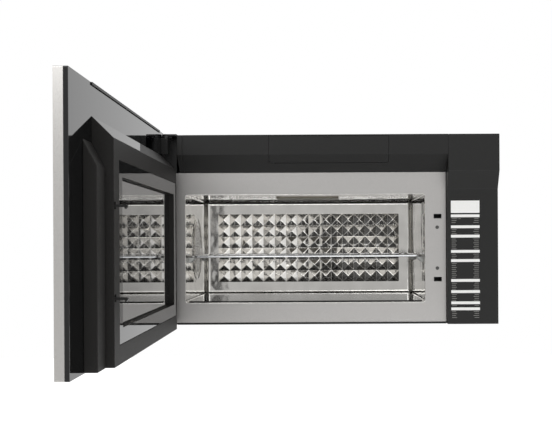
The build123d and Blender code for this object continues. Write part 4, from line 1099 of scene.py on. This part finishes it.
# %% Drive the screws
QUARTER = math.pi / 2
SCREW_ROWS = (  # count, first place and step in mm, and the turn that faces the heads outward
    (3, (379.5, -20.0, 40.0), (0.0, 0.0, 170.0), (0.0, QUARTER, 0.0)),
    (3, (379.5, -330.0, 40.0), (0.0, 0.0, 170.0), (0.0, QUARTER, 0.0)),
    (3, (-379.5, -20.0, 40.0), (0.0, 0.0, 170.0), (0.0, -QUARTER, 0.0)),
    (3, (-379.5, -330.0, 40.0), (0.0, 0.0, 170.0), (0.0, -QUARTER, 0.0)),
    (4, (-330.0, -14.0, 423.0), (220.0, 0.0, 0.0), (0.0, 0.0, 0.0)),
    (4, (-330.0, -345.0, 423.0), (220.0, 0.0, 0.0), (0.0, 0.0, 0.0)),
    (4, (-345.0, -20.0, 0.0), (230.0, 0.0, 0.0), (math.pi, 0.0, 0.0)),
)
heads = [
    grow("screw_row", screw_row, screw.copy(), Count=count, First=Vector(first) * MM, Step=Vector(step) * MM,
         Turn=turn)
    for count, first, step, turn in SCREW_ROWS
]
heads = merged("sheet_screws", *heads, smooth=40)
show("sheet_screws", heads, "zinc_steel", "cabinet")
print("screws:", sum(row[0] for row in SCREW_ROWS), "with", len(heads.polygons), "faces")

# %% Rib the lamp lenses
RIB_WIDTH, RIB_HEIGHT, RIB_LENGTH = 2.2, 0.7, 39.0
RIB_STEP, RIB_COUNT = 6.0, 14
ARC_POINTS = 7
LENS_X, LENS_Y = 190.0, -325.0
shape = bmesh.new()
ends = []
for y in (-RIB_LENGTH / 2, RIB_LENGTH / 2):
    arc = []
    for at in range(ARC_POINTS):
        angle = math.pi * at / (ARC_POINTS - 1)
        arc.append(shape.verts.new((RIB_WIDTH / 2 * MM * math.cos(angle), y * MM, RIB_HEIGHT * MM * math.sin(angle))))
    ends.append(arc)
skin(shape, ends)
shape.faces.new(ends[0])
shape.faces.new(ends[1][::-1])
rib = as_mesh("rib", shape, outward=True)
ribs = [
    grow("rib_row", rib_row, rib.copy(), Count=RIB_COUNT, Step=(RIB_STEP * MM, 0.0, 0.0), Turn=(math.pi, 0.0, 0.0),
         First=Vector((side * LENS_X - RIB_STEP * (RIB_COUNT - 1) / 2, LENS_Y, 0.0)) * MM)
    for side in (-1, 1)
]
ribs = merged("lens_ribs", *ribs, smooth=40)
show("lens_ribs", ribs, "lens_glass", "cabinet")
print("ribs:", 2 * RIB_COUNT)

# %% [markdown]
# ## Expanded mesh in the grease filters
# A grease filter is layers of aluminium sheet, slit and pulled open into diamonds. One diamond is drawn, and the
# rule lays two grids of them, the second moved by half a diamond, so that their corners meet.

# %% One diamond
DIAMOND = (12.0, 7.0)
OPENING = 0.74
STRAND = 0.9
shape = bmesh.new()
rings = []
for scale, height in ((1, 0), (1, STRAND), (OPENING, STRAND), (OPENING, 0)):
    rings.append([
        shape.verts.new((x * scale * DIAMOND[0] / 2 * MM, y * scale * DIAMOND[1] / 2 * MM, height * MM))
        for x, y in ((1, 0), (0, 1), (-1, 0), (0, -1))
    ])
skin(shape, rings, closed=True)
diamond = as_mesh("diamond", shape, outward=True)
print("one diamond has", len(diamond.polygons), "faces")

# %% Diamond rule
tree, size = new_rule("expanded_mesh", Columns="Int", Rows="Int", Wide="Float", Tall="Float", Centre="Vector")
grids = add(tree, "GeometryNodeJoinGeometry")
for fewer, label in ((0, "whole"), (1, "between")):
    columns = add(tree, "ShaderNodeMath", {0: size["Columns"], 1: float(fewer)}, operation="SUBTRACT").outputs[0]
    rows_here = add(tree, "ShaderNodeMath", {0: size["Rows"], 1: float(fewer)}, operation="SUBTRACT").outputs[0]
    steps_x = add(tree, "ShaderNodeMath", {0: columns, 1: 1.0}, operation="SUBTRACT").outputs[0]
    steps_y = add(tree, "ShaderNodeMath", {0: rows_here, 1: 1.0}, operation="SUBTRACT").outputs[0]
    wide = add(tree, "ShaderNodeMath", {0: steps_x, 1: size["Wide"]}, operation="MULTIPLY").outputs[0]
    tall = add(tree, "ShaderNodeMath", {0: steps_y, 1: size["Tall"]}, operation="MULTIPLY").outputs[0]
    grid = add(tree, "GeometryNodeMeshGrid", {
        "Size X": wide, "Size Y": tall, "Vertices X": columns, "Vertices Y": rows_here,
    }, label=label)
    tree.links.new(grid.outputs["Mesh"], grids.inputs[0])
copies = add(tree, "GeometryNodeInstanceOnPoints", {"Points": grids.outputs[0], "Instance": size["Geometry"]})
real = add(tree, "GeometryNodeRealizeInstances", {"Geometry": copies.outputs[0]})
moved = add(tree, "GeometryNodeTransform", {"Geometry": real.outputs[0], "Translation": size["Centre"]})
end_rule(tree, moved.outputs[0], finishes["filter_mesh"])

# %% Grow both meshes
FILTER_MESH = (254.0, 149.0)
MESH_Z = 1.6
for side in ("left", "right"):
    low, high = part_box("grease_filter_" + side)
    mesh = grow(
        "filter_mesh_" + side, tree, diamond.copy(), Columns=int(FILTER_MESH[0] / DIAMOND[0]),
        Rows=int(FILTER_MESH[1] / DIAMOND[1]), Wide=DIAMOND[0] * MM, Tall=DIAMOND[1] * MM,
        Centre=((low.x + high.x) / 2, (low.y + high.y) / 2, MESH_Z * MM),
    )
    show("filter_mesh_" + side, mesh, "filter_mesh", "filter_" + side)
    print("filter mesh", side, len(mesh.polygons), "faces")

# %% [markdown]
# ## Pieces without a finish
# At the end, every mesh that has no finish in its slots is listed. Finishes may not make the oven any bigger.
# Only the screw heads on the right stand out of the solids' box, by a millimetre.

# %% List the pieces without a finish
bare = [thing.name for thing in scene.objects if thing.type == "MESH" and not all(thing.data.materials[:] or [None])]
print("pieces without a finish:", bare)
